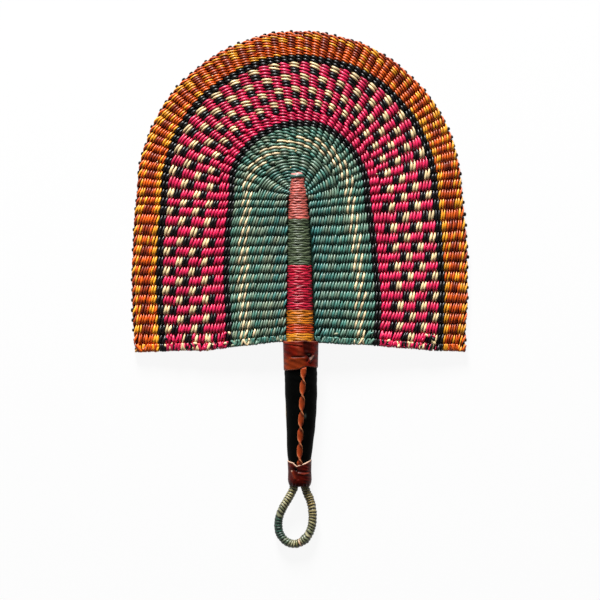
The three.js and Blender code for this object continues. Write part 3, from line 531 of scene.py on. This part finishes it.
ring_draft = np.array([(black, black)] * 2)
outer_ring = weave("outer_black_weft", BORDER_SPACES, AMBER_WIDTH, magenta_edge, 2, 0, ring_draft, as_dyed)
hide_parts("outer_black_ring")

check = [natural] * 2 + [black] * 2 + [magenta] * 4
check_draft = np.stack([check * 2, check[4:] + check + check[:4]], axis=1)
plain_draft = np.array([(magenta, magenta)] * 3)
for title, spaces, first, colours in [
    ("magenta_checks_outer", CHECK_SPACES, 0, check_draft[:8]),
    ("magenta_checks_inner", CHECK_SPACES, 8, check_draft[8:]),
    ("magenta_plain", RING_SPACES, 16, plain_draft),
]:
    field = weave(title, spaces, magenta_edge, field_edge, 19, first, colours, as_dyed)
    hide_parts("magenta_field")

inner_ring = weave("inner_black_weft", RING_SPACES, field_edge, teal_edge, 2, 0, ring_draft, as_dyed)
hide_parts("inner_black_ring")

dashes = [(teal, light_natural), (light_natural, teal)] * 2
deeper = blend(teal, deep_teal, np.linspace(0, 1, 14) ** 1.5)
teal_draft = np.array([(teal, teal)] * 3 + dashes + list(zip(deeper, deeper)))
for title, part, spaces, first, last in [
    ("teal_edge", "teal_field", RING_SPACES, 0, 3),
    ("teal_weft", "teal_field", FIELD_SPACES, 3, 9),
    ("teal_heart_weft", "teal_heart", HEART_SPACES, 9, 21),
]:
    field = weave(title, spaces, teal_edge, None, 21, first, teal_draft[first:last], teal_mix, TEAL_LEAN)
    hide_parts(part)

# Knots: straws that ran out were tied off and new ones tied in. Most knots sit in the last rows of either
# side, where every course ends, and a few pale ones lie scattered in the field.
KNOTS, JOINS = 56, 36
TIED = KNOTS + JOINS
last = 2 * STAKES + BORDER_SPACES - 2
knot_place = np.concatenate([rng.uniform(-0.25, 1.35, KNOTS), rng.uniform(2, last / 2, JOINS)])
knot_place = np.where(rng.random(TIED) < 0.6, knot_place, last - knot_place)
knot_depth = np.concatenate([rng.uniform(24, 78, KNOTS // 2), rng.uniform(3, 122, TIED - KNOTS // 2)])
band = np.searchsorted([AMBER_WIDTH, magenta_edge, field_edge, teal_edge], knot_depth)
band_dyes = np.array([[yellow, orange, rust], [black, black, natural], [natural, magenta, black],
                      [black, black, natural], [teal, grey_green, light_natural]])
knot_dye = band_dyes[band, rng.integers(0, 3, TIED)]
knot_dye[KNOTS:] = 0.8 * natural
foot, tip, reach, _ = rib(knot_place, BORDER_SPACES)
centre = foot + ((reach - knot_depth) / reach)[:, None] * (tip - foot)
side = np.where(rng.random(TIED) < 0.65, 1, -1)
centre[:, 2] += side * np.where(np.arange(TIED) < KNOTS, WEFT_RISE + 0.5, WEFT_RISE + 0.1)
knot_turn = rng.uniform(0, np.pi, TIED)
knot_size = np.concatenate([rng.uniform(0.9, 1.3, KNOTS), rng.uniform(0.45, 0.7, JOINS)])
along = np.stack([np.cos(knot_turn), np.sin(knot_turn), 0 * knot_turn], axis=-1)
step = np.linspace(-1, 1, 7)
middles = centre[:, None] + 1.6 * (knot_size[:, None] * step)[..., None] * along[:, None]
across = np.broadcast_to(np.cross([0, 0, 1], along)[:, None], middles.shape)
round_it = round_angles(8)
swell = knot_size[:, None] * np.sqrt(1.02 - step ** 2)
outline = swell[..., None, None] * np.stack([np.cos(round_it), 0.9 * np.sin(round_it)], axis=-1)
rings = uneven(carry(middles, across, np.broadcast_to([0, 0, 1.0], middles.shape), outline))
rings[..., 2] = np.maximum(rings[..., 2], LOWEST)
knots = put("weft_knots", rings, knot_dye[:, None, None], straw)

# A dark sheet lies flat between the front and the back straws and closes the weave: painted shade in its
# gaps, in a dark shade of each band's colours. It runs from the rim to under the binding.
either_side = np.array([-0.1, 0.1])
filler_at = np.concatenate([[0.75, 10], AMBER_WIDTH + either_side, magenta_edge + either_side, [50],
                            field_edge + either_side, teal_edge + either_side, [95, 110, 118]])
# Painted shade: dark amber, black, dark magenta and dark teal, band by band from the rim inwards.
gap_shade_colours = linear(*["#5A1A08"] * 3, *["#0B0909"] * 2, *["#3C0812"] * 3, *["#0B0909"] * 2, *["#16332A"] * 5)
place = np.linspace(-0.2, 2 * STAKES + BORDER_SPACES - 1.8, 260)
foot, tip, reach, spine = rib(place, BORDER_SPACES)
at = np.concatenate([reach[:, None] - filler_at, (0.3 * spine)[:, None]], axis=1)
layer = foot[:, None] + (at / reach[:, None])[..., None] * (tip - foot)[:, None]
faces = np.concatenate([layer + [0, 0, 0.3], layer[:, ::-1] - [0, 0, 0.3]], axis=1)
gap_shade_faces = np.concatenate([gap_shade_colours, gap_shade_colours[::-1]])
filler = put("gap_shade_sheet", uneven(faces)[None], gap_shade_faces[None, None], straw)

# Spine
# A bundle of straw, bound from its tip to the collar with single straws in four colours. They lie square
# across the front, pass between the stakes at the sides and step on across the back. At the tip a pink end
# is tied down with a teal straw.

# Undyed stems side by side: streaks along the bundle, 1 mm wide and 20 mm long.
bundle, tree = blank_material("bare_straw_bundle")
spot = node(tree, "TexCoord", {})
stretch = node(tree, "Mapping", {"Vector": spot.outputs["Object"], "Scale": (1000, 50, 1000)})
stems = node(tree, "TexNoise", {"Vector": stretch.outputs["Vector"], "Scale": 1, "Detail": 3})
pale = node(tree, "Mix", {"Factor": stems.outputs["Fac"], 6: (*linear("#8A6A3C")[0], 1),
                          7: (*linear("#D8BC86")[0], 1)}, data_type="RGBA")
relief = node(tree, "Bump", {"Height": stems.outputs["Fac"], "Strength": 0.6, "Distance": 0.0004})
skin = node(tree, "BsdfPrincipled", {"Base Color": pale.outputs[2], "Roughness": 0.5,
                                     "Normal": relief.outputs["Normal"], "IOR": 1.5})
node(tree, "OutputMaterial", {"Surface": skin.outputs["BSDF"]})
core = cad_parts["spine_core"]
core.data.materials.clear()
core.data.materials.append(bundle)

STRAW_HALF = 0.95
wound_straw = straw_finish("wound_straw", 0.25)


def binding(name, tops, dyes):
    """Straw wound on the spine's squarish oval, whose sine and cosine are taken to the 0.9. Each turn keeps
    its place along the spine over the front half and eases to the next turn's place over the back. It
    wavers by sines of three and seven waves a turn, so that neighbours part and meet like lenses, and lies
    higher and lower by a sine of five. Its section is an oval, wide enough to overlap the next turn. The
    sides are darkened by painted shade."""
    turns = len(tops) - 1
    steps = 72
    share = np.linspace(0, turns, turns * steps + 1)
    number = np.minimum(share.astype(int), turns - 1)
    part = share - number
    back = np.clip((part - 0.55) / 0.4, 0, 1)
    back = back * back * (3 - 2 * back)
    tall = (tops[:-1] - tops[1:])[number]
    angle = np.pi / 2 - 2 * np.pi * part
    phase = rng.uniform(0, 2 * np.pi, (3, turns))[:, number]
    wave = 0.12 * np.sin(3 * angle + phase[0]) + 0.12 * np.sin(7 * angle + phase[1])
    y = tops[number] - tall * (0.5 + back) + wave * tall
    lift = 0.2 * np.sin(5 * angle + phase[2]) + rng.normal(0, 0.08, turns)[number]
    middle, half_width = bound_spine(y)
    half_width = half_width - STRAW_HALF + lift
    half_depth = np.interp(y, [-133.1, -29, 6, 9.5], [8.1, 5.7, 4.1, 3.3]) + lift
    row_y = MEETING + y
    side, face = signed_power(np.sin(angle), 0.9), signed_power(np.cos(angle), 0.9)
    middles = np.stack([middle + half_width * side, row_y, axis_height(row_y) + half_depth * face], axis=-1)
    slope_x, slope_z = signed_power(side, 1.5), signed_power(face, 1.5)
    out = unit(np.stack([slope_x / half_width, 0 * y, slope_z / half_depth], axis=-1))
    forward = unit(np.gradient(middles, axis=0))
    across = unit(np.cross(out, forward))
    round_it = round_angles(8)
    wide = (tall * 0.65 * (1 + rng.normal(0, 0.05, turns)[number]))[:, None]
    outline = np.stack([wide * np.cos(round_it), STRAW_HALF * np.sin(round_it) + 0 * wide], axis=-1)
    # Painted shade: the winding darkens towards its sides.
    winding_side_shade = 1 - 0.45 * np.abs(side) ** 6
    colour = dyes[number] * (winding_side_shade * (0.7 + 0.6 * rng.random(turns)[number]))[:, None]
    rings = carry(middles, across, out, outline)
    return put(name, rings[None], colour[None, :, None], wound_straw, strips=turns)


salmon, pink, tie_teal, olive, dark_olive, crimson, wine = linear(
    "#B4584E", "#C08078", "#2F5850", "#545F46", "#3E4A34", "#B21834", "#920C23")
gold, flame, ochre = linear("#C27A18", "#B23B0D", "#C06C14")
amber_turns = [ochre] * 6 + [flame] * 4 + [gold] * 5
for title, part, slot, top, foot, dyes in [
    ("salmon_binding", "salmon_winding", "salmon_straw", 7.4, -28, [salmon] * 17),
    ("green_binding", "green_winding", "green_straw", -28, -66.5, [olive, dark_olive] * 10),
    ("crimson_binding", "crimson_winding", "crimson_straw", -66.5, -103.5, [crimson, crimson, wine] * 6),
    ("amber_binding", "amber_winding", "amber_straw", -103.5, -132.6, amber_turns),
]:
    wound = binding(title, np.linspace(top, foot, len(dyes) + 1), np.array(dyes))
    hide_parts(part)

# The tip's tie: rings up the spine's axis, the teal straw first and the pink end above it.
tie_turn = round_angles(40)
end_y = np.array([6.2, 6.3, 6.8, 7.6, 8.4, 9, 9.3, 9.35, 9.8, 10.5, 11, 11.2])
end_reach = np.array([4, 5.6, 6.7, 7.1, 6.9, 6.4, 5.9, 5.6, 5.5, 5, 3.7, 0.8])
end_rings = np.stack([
    end_reach[:, None] * np.sin(tie_turn) - 1.8,
    MEETING + end_y[:, None] + 0.3 * np.sin(3 * tie_turn),
    axis_height(MEETING + end_y)[:, None] + 0.8 * end_reach[:, None] * np.cos(tie_turn)], axis=-1)
end_dye = np.where((end_y < 9.32)[:, None, None], tie_teal, pink)
end_tie = put("tip_tie", end_rings[None], end_dye[None], straw)
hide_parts("salmon_winding")

# Handle sleeve
# Black goat leather drawn round the bundle, its edges meeting in a seam down the front. It was put on wet,
# so it lies tight and takes the bundle's slight bend, with faint wrinkles. A pale spot on the right is
# painted highlight.
HANDLE_SIDES = 144


def leather_finish(name, grain_size, roughness, shine):
    """Goat leather, vegetable tanned: pebbled grain of this size in millimetres, mottled by handling, with
    a waxed sheen. Its colour is the piece's dye attribute, painted shade and highlights included."""
    made, tree = blank_material(name)
    spot = node(tree, "TexCoord", {})
    pebbles = node(tree, "TexVoronoi", {"Vector": spot.outputs["Object"], "Scale": 1000 / grain_size})
    mottle = node(tree, "TexNoise", {"Vector": spot.outputs["Object"], "Scale": 260, "Detail": 5})
    dye = node(tree, "Attribute", {}, attribute_name="dye")
    shade = spread(tree, mottle, 0.75, 1.25)
    tint = node(tree, "VectorMath", {"Vector": dye.outputs["Color"], "Scale": shade}, operation="SCALE")
    rough = spread(tree, mottle, roughness + 0.08, roughness - 0.08)
    creased = node(tree, "Bump", {"Height": mottle.outputs["Fac"], "Strength": 0.4, "Distance": 0.0005})
    relief = node(tree, "Bump", {"Height": pebbles.outputs["Distance"], "Strength": 0.2, "Distance": 0.0002,
                                 "Normal": creased.outputs["Normal"]})
    skin = node(tree, "BsdfPrincipled", {
        "Base Color": tint.outputs["Vector"], "Roughness": rough,
        "Normal": relief.outputs["Normal"], "IOR": 1.5, "Specular IOR Level": shine})
    node(tree, "OutputMaterial", {"Surface": skin.outputs["BSDF"]})
    return made


def handle_middle(y):
    """The handle bends to the right below the blade and comes back at the ferrule."""
    return np.interp(y, [-189.8, -166, -155, -145, -130, -115, -95], [0.3, 0, 0.35, 0.9, 1.4, 1.35, 1.05])


def oval(angle, y, width, depth):
    """Points on an oval of these half sizes round the handle, from the front towards +X."""
    return np.stack([handle_middle(y) + width * np.sin(angle), y + 0 * width,
                     axis_height(y) + depth * np.cos(angle)], axis=-1)


def sleeve_halves(y):
    """Half width and half depth of the sleeve, which keeps its width over the upper half."""
    width = np.interp(y, [-183, -170, -163.8, -155.5, -147, -138.8, -130.5, -122, -113.8, -97, -75.8],
                      [8.6, 9.2, 10.15, 10.8, 11.5, 12.05, 12.45, 12.9, 13.3, 13.55, 13.2])
    depth = np.interp(y, [-183, -165.8, -130, -94.8, -75.8], [7, 7.2, 8.5, 9.3, 9.4])
    return width, depth


def seam_angle(y):
    """The seam starts right of the middle at the collar and runs down to the middle."""
    return np.radians(np.interp(y, [-165, -140, -114, -91], [0.3, -1.2, 3.9, 9.6]))


black_leather = leather_finish("black_goat_leather", 0.8, 0.55, 0.05)
angle = round_angles(HANDLE_SIDES)
y = np.linspace(-182.5, -76, 120)[:, None]
width, depth = sleeve_halves(y)
off_seam = (angle - seam_angle(y) + np.pi) % (2 * np.pi) - np.pi
lift = -0.8 * np.exp(-(off_seam * width / 1.2) ** 2)
lift = lift + 0.1 * np.sin(1.1 * y + 3 * np.sin(2 * angle)) * np.exp(-(((y + 96) / 9) ** 2))
lift = lift + 0.08 * np.sin(0.35 * y + 4 * np.cos(angle + 0.02 * y))
rings = oval(angle, y, width + lift, depth + lift)
# Painted highlight: a pale spot of sheen on the right of the front.
painted_sheen = np.exp(-(np.hypot((rings[..., 0] - 4.8) / 0.7, (y + 130.5) / 1.5)) ** 2) * (np.cos(angle) > 0)
leather_black, sheen_grey = linear("#030403", "#454E49")
sleeve_dye = blend(leather_black, sheen_grey, painted_sheen)
sleeve = put("sleeve_leather", rings[None], sleeve_dye[None], black_leather)
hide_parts("handle_sleeve")

# Collar and ferrule
# Strips of red-brown goat leather wound wet round both ends of the sleeve. The end of each strip is pulled
# under with an awl, which left a puckered hole with folds round it. Their cut edges are raw and pale.
LEATHER = 0.9
brown_leather = leather_finish("red_brown_goat_leather", 0.7, 0.38, 0.15)
red_brown, deep_brown, warm_brown, highlight_brown, raw_edge, hole_shade = linear(
    "#6C1405", "#340602", "#86320E", "#8C341C", "#D3AE94", "#0C0201")


def cuff(name, foot_at, top_at, halves_at, folds_at, raw_foot, raw_top):
    """A leather cuff: walls that follow an oval from the foot's edge to the top's edge, both places set by
    the angle. It stands up from the sleeve by its thickness with rounded edges, and folds_at gives the
    height and the colour of its folds, painted shade and highlights included. The edges show raw leather by
    the two last shares."""
    rows = np.linspace(0.03, 0.97, 72)
    share = np.concatenate([[0, 0, 0.004, 0.012], rows, [0.988, 0.996, 1, 1]])[:, None]
    stand = np.concatenate([[-0.9, 0.25, 0.7, 0.93], np.ones(len(rows)), [0.93, 0.7, 0.25, -0.9]])[:, None]
    angle = np.linspace(-np.pi, np.pi, HANDLE_SIDES, endpoint=False)
    foot, top = foot_at(np.degrees(angle)), top_at(np.degrees(angle))
    y = foot + (top - foot) * share
    width, depth = halves_at(y)
    x = handle_middle(y) + (width + LEATHER) * np.sin(angle)
    height, colour = folds_at(x, y)
    front = np.clip(3 * np.cos(angle), 0, 1)
    lift = LEATHER * stand + front * height * np.clip(stand, 0, 1)
    edge = raw_foot * np.exp(-((y - foot) / 0.5) ** 2) + raw_top * np.exp(-((y - top) / 0.55) ** 2)
    colour = blend(blend(red_brown, colour, front), raw_edge, edge)
    return put(name, oval(angle, y, width + lift, depth + lift)[None], colour[None], brown_leather)


def fold(x, y, x0, y0, x1, y1, width):
    """Nearness to the line between two places: 1 on it, falling off over the width like a bell."""
    along = np.clip(((x - x0) * (x1 - x0) + (y - y0) * (y1 - y0)) / ((x1 - x0) ** 2 + (y1 - y0) ** 2), 0, 1)
    return np.exp(-np.hypot(x - x0 - along * (x1 - x0), y - y0 - along * (y1 - y0)) ** 2 / width ** 2)


def collar_halves(y):
    """Half width and half depth under the collar's leather."""
    return np.interp(y, [-94, -69], [13.3, 13.9]), 9.8 + 0 * y


def collar_foot(degrees):
    """The lower edge: lowest on the left, with a step up at the lacing."""
    return np.interp(degrees, [-180, -75, -15, -4, 5, 25, 60, 180],
                     [-92, -93.3, -92.3, -91.6, -90.2, -89.7, -90.6, -92])


def collar_top(degrees):
    """The upper edge, stretched uneven over the winding."""
    turn = np.radians(degrees)
    return -68.7 + 0.35 * np.sin(3 * turn + 1) + 0.2 * np.sin(8 * turn)


def collar_folds(x, y):
    """A crease across the left with a warmer layer below it, a valley right of the middle, a pleat along
    the top, and the tuck: a hole with a raised fold that runs down from it. Painted shade darkens the hole,
    the crease, the valley and a broad band beside it, the upper left is darker too, and painted highlight
    lightens the raised patch and the pleat."""
    crease = fold(x, y, -6.5, -81.8, 3.8, -81.5, 0.7)
    valley = fold(x, y, 4.4, -71, 5.6, -79.5, 1.4)
    patch = fold(x, y, -1.2, -74, 0.6, -79, 2)
    pleat = fold(x, y, -13, -70.4, 2.1, -72, 0.6)
    hole = fold(x, y, 7.5, -80.2, 8.4, -80.9, 1)
    lip = fold(x, y, 11, -80.8, 8, -85.6, 0.8)
    gully = fold(x, y, 9.2, -81.2, 6.6, -85.4, 0.8)
    height = (-0.45 * crease + 0.25 * fold(x, y, -7, -83.4, 4.4, -83.1, 1.6) - 0.6 * valley + 0.35 * patch
              + 0.3 * pleat - 0.25 * fold(x, y, -13, -71.7, 2.1, -73.3, 0.8)
              - 1.6 * hole + 0.9 * lip - 0.6 * gully
              + 0.35 * fold(x, y, 6, -77.6, 12, -78.4, 1.3) + 0.1 * np.sin(1.3 * y + 0.5 * x))
    below = 1 / (1 + np.exp((y + 82) / 0.4)) / (1 + np.exp((x - 4.6) / 0.7))
    # Painted shade in the valley and the broad band beside it, where the strip's end overlaps; the upper
    # left is darkened too.
    dark = np.clip(fold(x, y, 7, -71, 8, -81, 4.5) + 0.5 * fold(x, y, -13, -75, -8, -79, 3) + valley, 0, 1)
    colour = blend(red_brown, deep_brown, dark)
    colour = blend(colour, warm_brown, 0.75 * below)
    # Painted highlight on the raised patch and the pleat.
    colour = blend(colour, highlight_brown, (0.7 * patch + 0.6 * pleat) / 1.3)
    # Painted shade blackens the hole and the crease.
    colour = blend(colour, hole_shade, np.clip(hole + 0.8 * crease, 0, 1))
    cream = np.clip(0.45 * fold(x, y, 11, -80.8, 9, -84, 0.4) + fold(x, y, 8, -79.9, 8.3, -80, 0.4), 0, 1)
    return height, blend(colour, raw_edge, cream)


collar = cuff("collar_leather", collar_foot, collar_top, collar_halves, collar_folds, 0.2, 0.1)
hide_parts("top_collar", "collar_tab")


def ferrule_halves(y):
    """Half width and half depth under the ferrule's leather, drawn in at the mouth."""
    draw = np.interp(y, [-189.8, -188.6, -186.5, -184], [2, 1.1, 0.4, 0])
    return np.interp(y, [-184, -177, -166], [9.05, 8.8, 9.2]) - draw, 7.4 - draw


def ferrule_foot(degrees):
    """The mouth's edge, square across."""
    return -189.6 + 0 * degrees


def ferrule_top(degrees):
    """The upper edge: drawn down to a point left of the middle."""
    return np.interp(degrees, [-180, -84, -35, -16, 18, 73, 180],
                     [-167.4, -168, -169.4, -172.2, -170.5, -167.2, -167.4])


def ferrule_folds(x, y):
    """The tuck left of the middle, a lip that hangs from it to the right, and a fold that runs down. Painted
    shade darkens the leather round the hole and blackens the hole, painted highlight lightens the lip and
    the fold, and the leather darkens towards the mouth.
    """
    hole = fold(x, y, -3.5, -175, -2.9, -175.6, 1)
    lip = np.maximum(fold(x, y, -0.8, -178.2, 3.2, -179.1, 0.75),
                     fold(x, y, 3.2, -179.1, 7.4, -178.3, 0.75))
    ridge = fold(x, y, -5.8, -177.4, -3.8, -182.6, 1)
    height = (-1.5 * hole + 0.55 * lip - 0.5 * fold(x, y, -1.6, -176.8, 7.6, -177.3, 0.8) + 0.55 * ridge
              - 0.6 * fold(x, y, -2.8, -177.4, -1.2, -183, 0.8) + 0.3 * fold(x, y, -8, -173, -5, -172.5, 1.5)
              + 0.25 * np.cos(2.4 * x) * np.exp(-(((y + 189.5) / 2.5) ** 2))
              + 0.1 * np.sin(2.3 * y + 0.8 * x) / (1 + np.exp(3 - x)))
    # Painted shade round the hole; the leather also darkens towards the mouth.
    dark = np.clip(fold(x, y, -4, -174.4, -1.8, -177, 2.4) + np.exp(-(((y + 190) / 3.5) ** 2)), 0, 1)
    colour = blend(red_brown, deep_brown, 0.72 + 0.28 * dark)
    # Painted highlight on the lip and the fold.
    colour = blend(colour, highlight_brown, 0.5 * np.maximum(lip, ridge))
    # Painted shade blackens the hole.
    colour = blend(colour, hole_shade, hole)
    return height, blend(colour, raw_edge, fold(x, y, -6.5, -176.3, -6.3, -176.4, 0.5))


ferrule = cuff("ferrule_leather", ferrule_foot, ferrule_top, ferrule_halves, ferrule_folds, 0, 1)
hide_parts("bottom_ferrule", "ferrule_tab")

# Seam lacing
# One flat tan leather thong, laced down the seam and twisted as it goes, so that it shows as a row of
# leaf-shaped stitches with the thong's pale cut edges crossing between them.
TWIST_LENGTH = 13.2
FIRST_CROSSING = -100.2
tan_leather = leather_finish("tan_leather_thong", 0.7, 0.5, 0.2)
y = np.linspace(-173, -88.5, 343)
angle = seam_angle(y)
width, depth = sleeve_halves(y)
stitch = (y - FIRST_CROSSING) / TWIST_LENGTH
twist = -np.pi * (stitch + 0.5) - 0.35 * np.sin(2 * np.pi * stitch)
flatness = np.abs(np.cos(twist))
under_ferrule, under_collar = np.clip((-169.5 - y) / 3, 0, 1), np.clip((y + 91.5) / 2, 0, 1)
lift = 0.5 + 0.5 * (1 - flatness) - 2.2 * under_ferrule - 1.5 * under_collar
middles = oval(angle, y, width + lift, depth + lift)
out = unit(np.stack([np.sin(angle) / width, 0 * y, np.cos(angle) / depth], axis=-1))
forward = unit(np.gradient(middles, axis=0))
across = unit(np.cross(out, forward))
turned = np.cos(twist)[:, None] * across + np.sin(twist)[:, None] * out
upright = np.cross(forward, turned)
round_it = round_angles(24)
flat = np.stack([(1.5 + 0.9 * flatness)[:, None] * signed_power(np.cos(round_it), 0.55),
                 (0.95 - 0.2 * flatness)[:, None] * signed_power(np.sin(round_it), 0.55)], axis=-1)
tan, pale_tan = linear("#9A3A14", "#D48C5E")
cut_edge = 0.8 * np.abs(np.cos(round_it)) ** 10
thong_dye = blend(tan, pale_tan, cut_edge) + 0 * middles[:, None]
lacing = put("twisted_thong", carry(middles, turned, upright, flat)[None], thong_dye[None], tan_leather)
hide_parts("seam_lacing")

# The studio
# A white paper sweep, flat under the fan and turned up into a low wall all round, with a broad soft lamp
# towards the top of the picture and dim light from above. The camera sees the paper as white, and the paper
# keeps the fan's shadow.
sheet, tree = blank_material("white_paper")
rays = node(tree, "LightPath", {})
seen = node(tree, "Math", {0: rays.outputs["Is Camera Ray"], 1: rays.outputs["Is Glossy Ray"]},
            operation="MAXIMUM")
seen = node(tree, "Math", {0: seen.outputs["Value"], 1: rays.outputs["Is Transmission Ray"]},
            operation="MAXIMUM")
paper = node(tree, "BsdfDiffuse", {"Color": (0.9, 0.9, 0.9, 1)})
white = node(tree, "Emission", {"Color": (1, 1, 1, 1), "Strength": 1})
share = node(tree, "Math", {0: seen.outputs["Value"], 1: 0.92}, operation="MULTIPLY")
both = node(tree, "MixShader", {"Fac": share.outputs["Value"], 1: paper.outputs["BSDF"],
                                2: white.outputs["Emission"]})
node(tree, "OutputMaterial", {"Surface": both.outputs["Shader"]})
sweep_reach = np.array([5.2, 5.5, 5.8, 5.95, 6, 6])
sweep_height = np.array([-0.0003, 0.05, 0.22, 0.45, 0.7, 1.5])
SWEEP_SIDES = 64
turn = round_angles(SWEEP_SIDES)
points = np.stack([np.outer(sweep_reach, np.cos(turn)), np.outer(sweep_reach, np.sin(turn)),
                   sweep_height[:, None] + 0 * turn], axis=-1)
index = np.arange(points.size // 3).reshape(len(sweep_reach), SWEEP_SIDES)
beside = np.roll(index, -1, axis=1)
walls = np.stack([index[:-1], beside[:-1], beside[1:], index[1:]], axis=-1).reshape(-1, 4)
floor_mesh = bpy.data.meshes.new("floor")
floor_mesh.from_pydata(points.reshape(-1, 3).tolist(), [], [index[0].tolist(), *walls.tolist()])
floor_mesh.materials.append(sheet)
floor = bpy.data.objects.new("floor", floor_mesh)
bpy.context.scene.collection.objects.link(floor)

world = bpy.data.worlds.new("studio")
bpy.context.scene.world = world
world.use_nodes = True
tree = world.node_tree
tree.nodes.clear()
sky = node(tree, "Background", {"Color": (1, 1, 1, 1), "Strength": 0.1})
node(tree, "OutputWorld", {"Surface": sky.outputs["Background"]})

lamp = bpy.data.lights.new("window", "AREA")
lamp.size = 0.8
lamp.energy = 215
# It is turned to face the fan's middle.
window = bpy.data.objects.new("window", lamp)
window.location = (-0.4, 2.75, 1.1)
window.rotation_euler = (-np.arctan2(2.78, 1.1), 0, np.arctan2(0.4, 2.75))
bpy.context.scene.collection.objects.link(window)
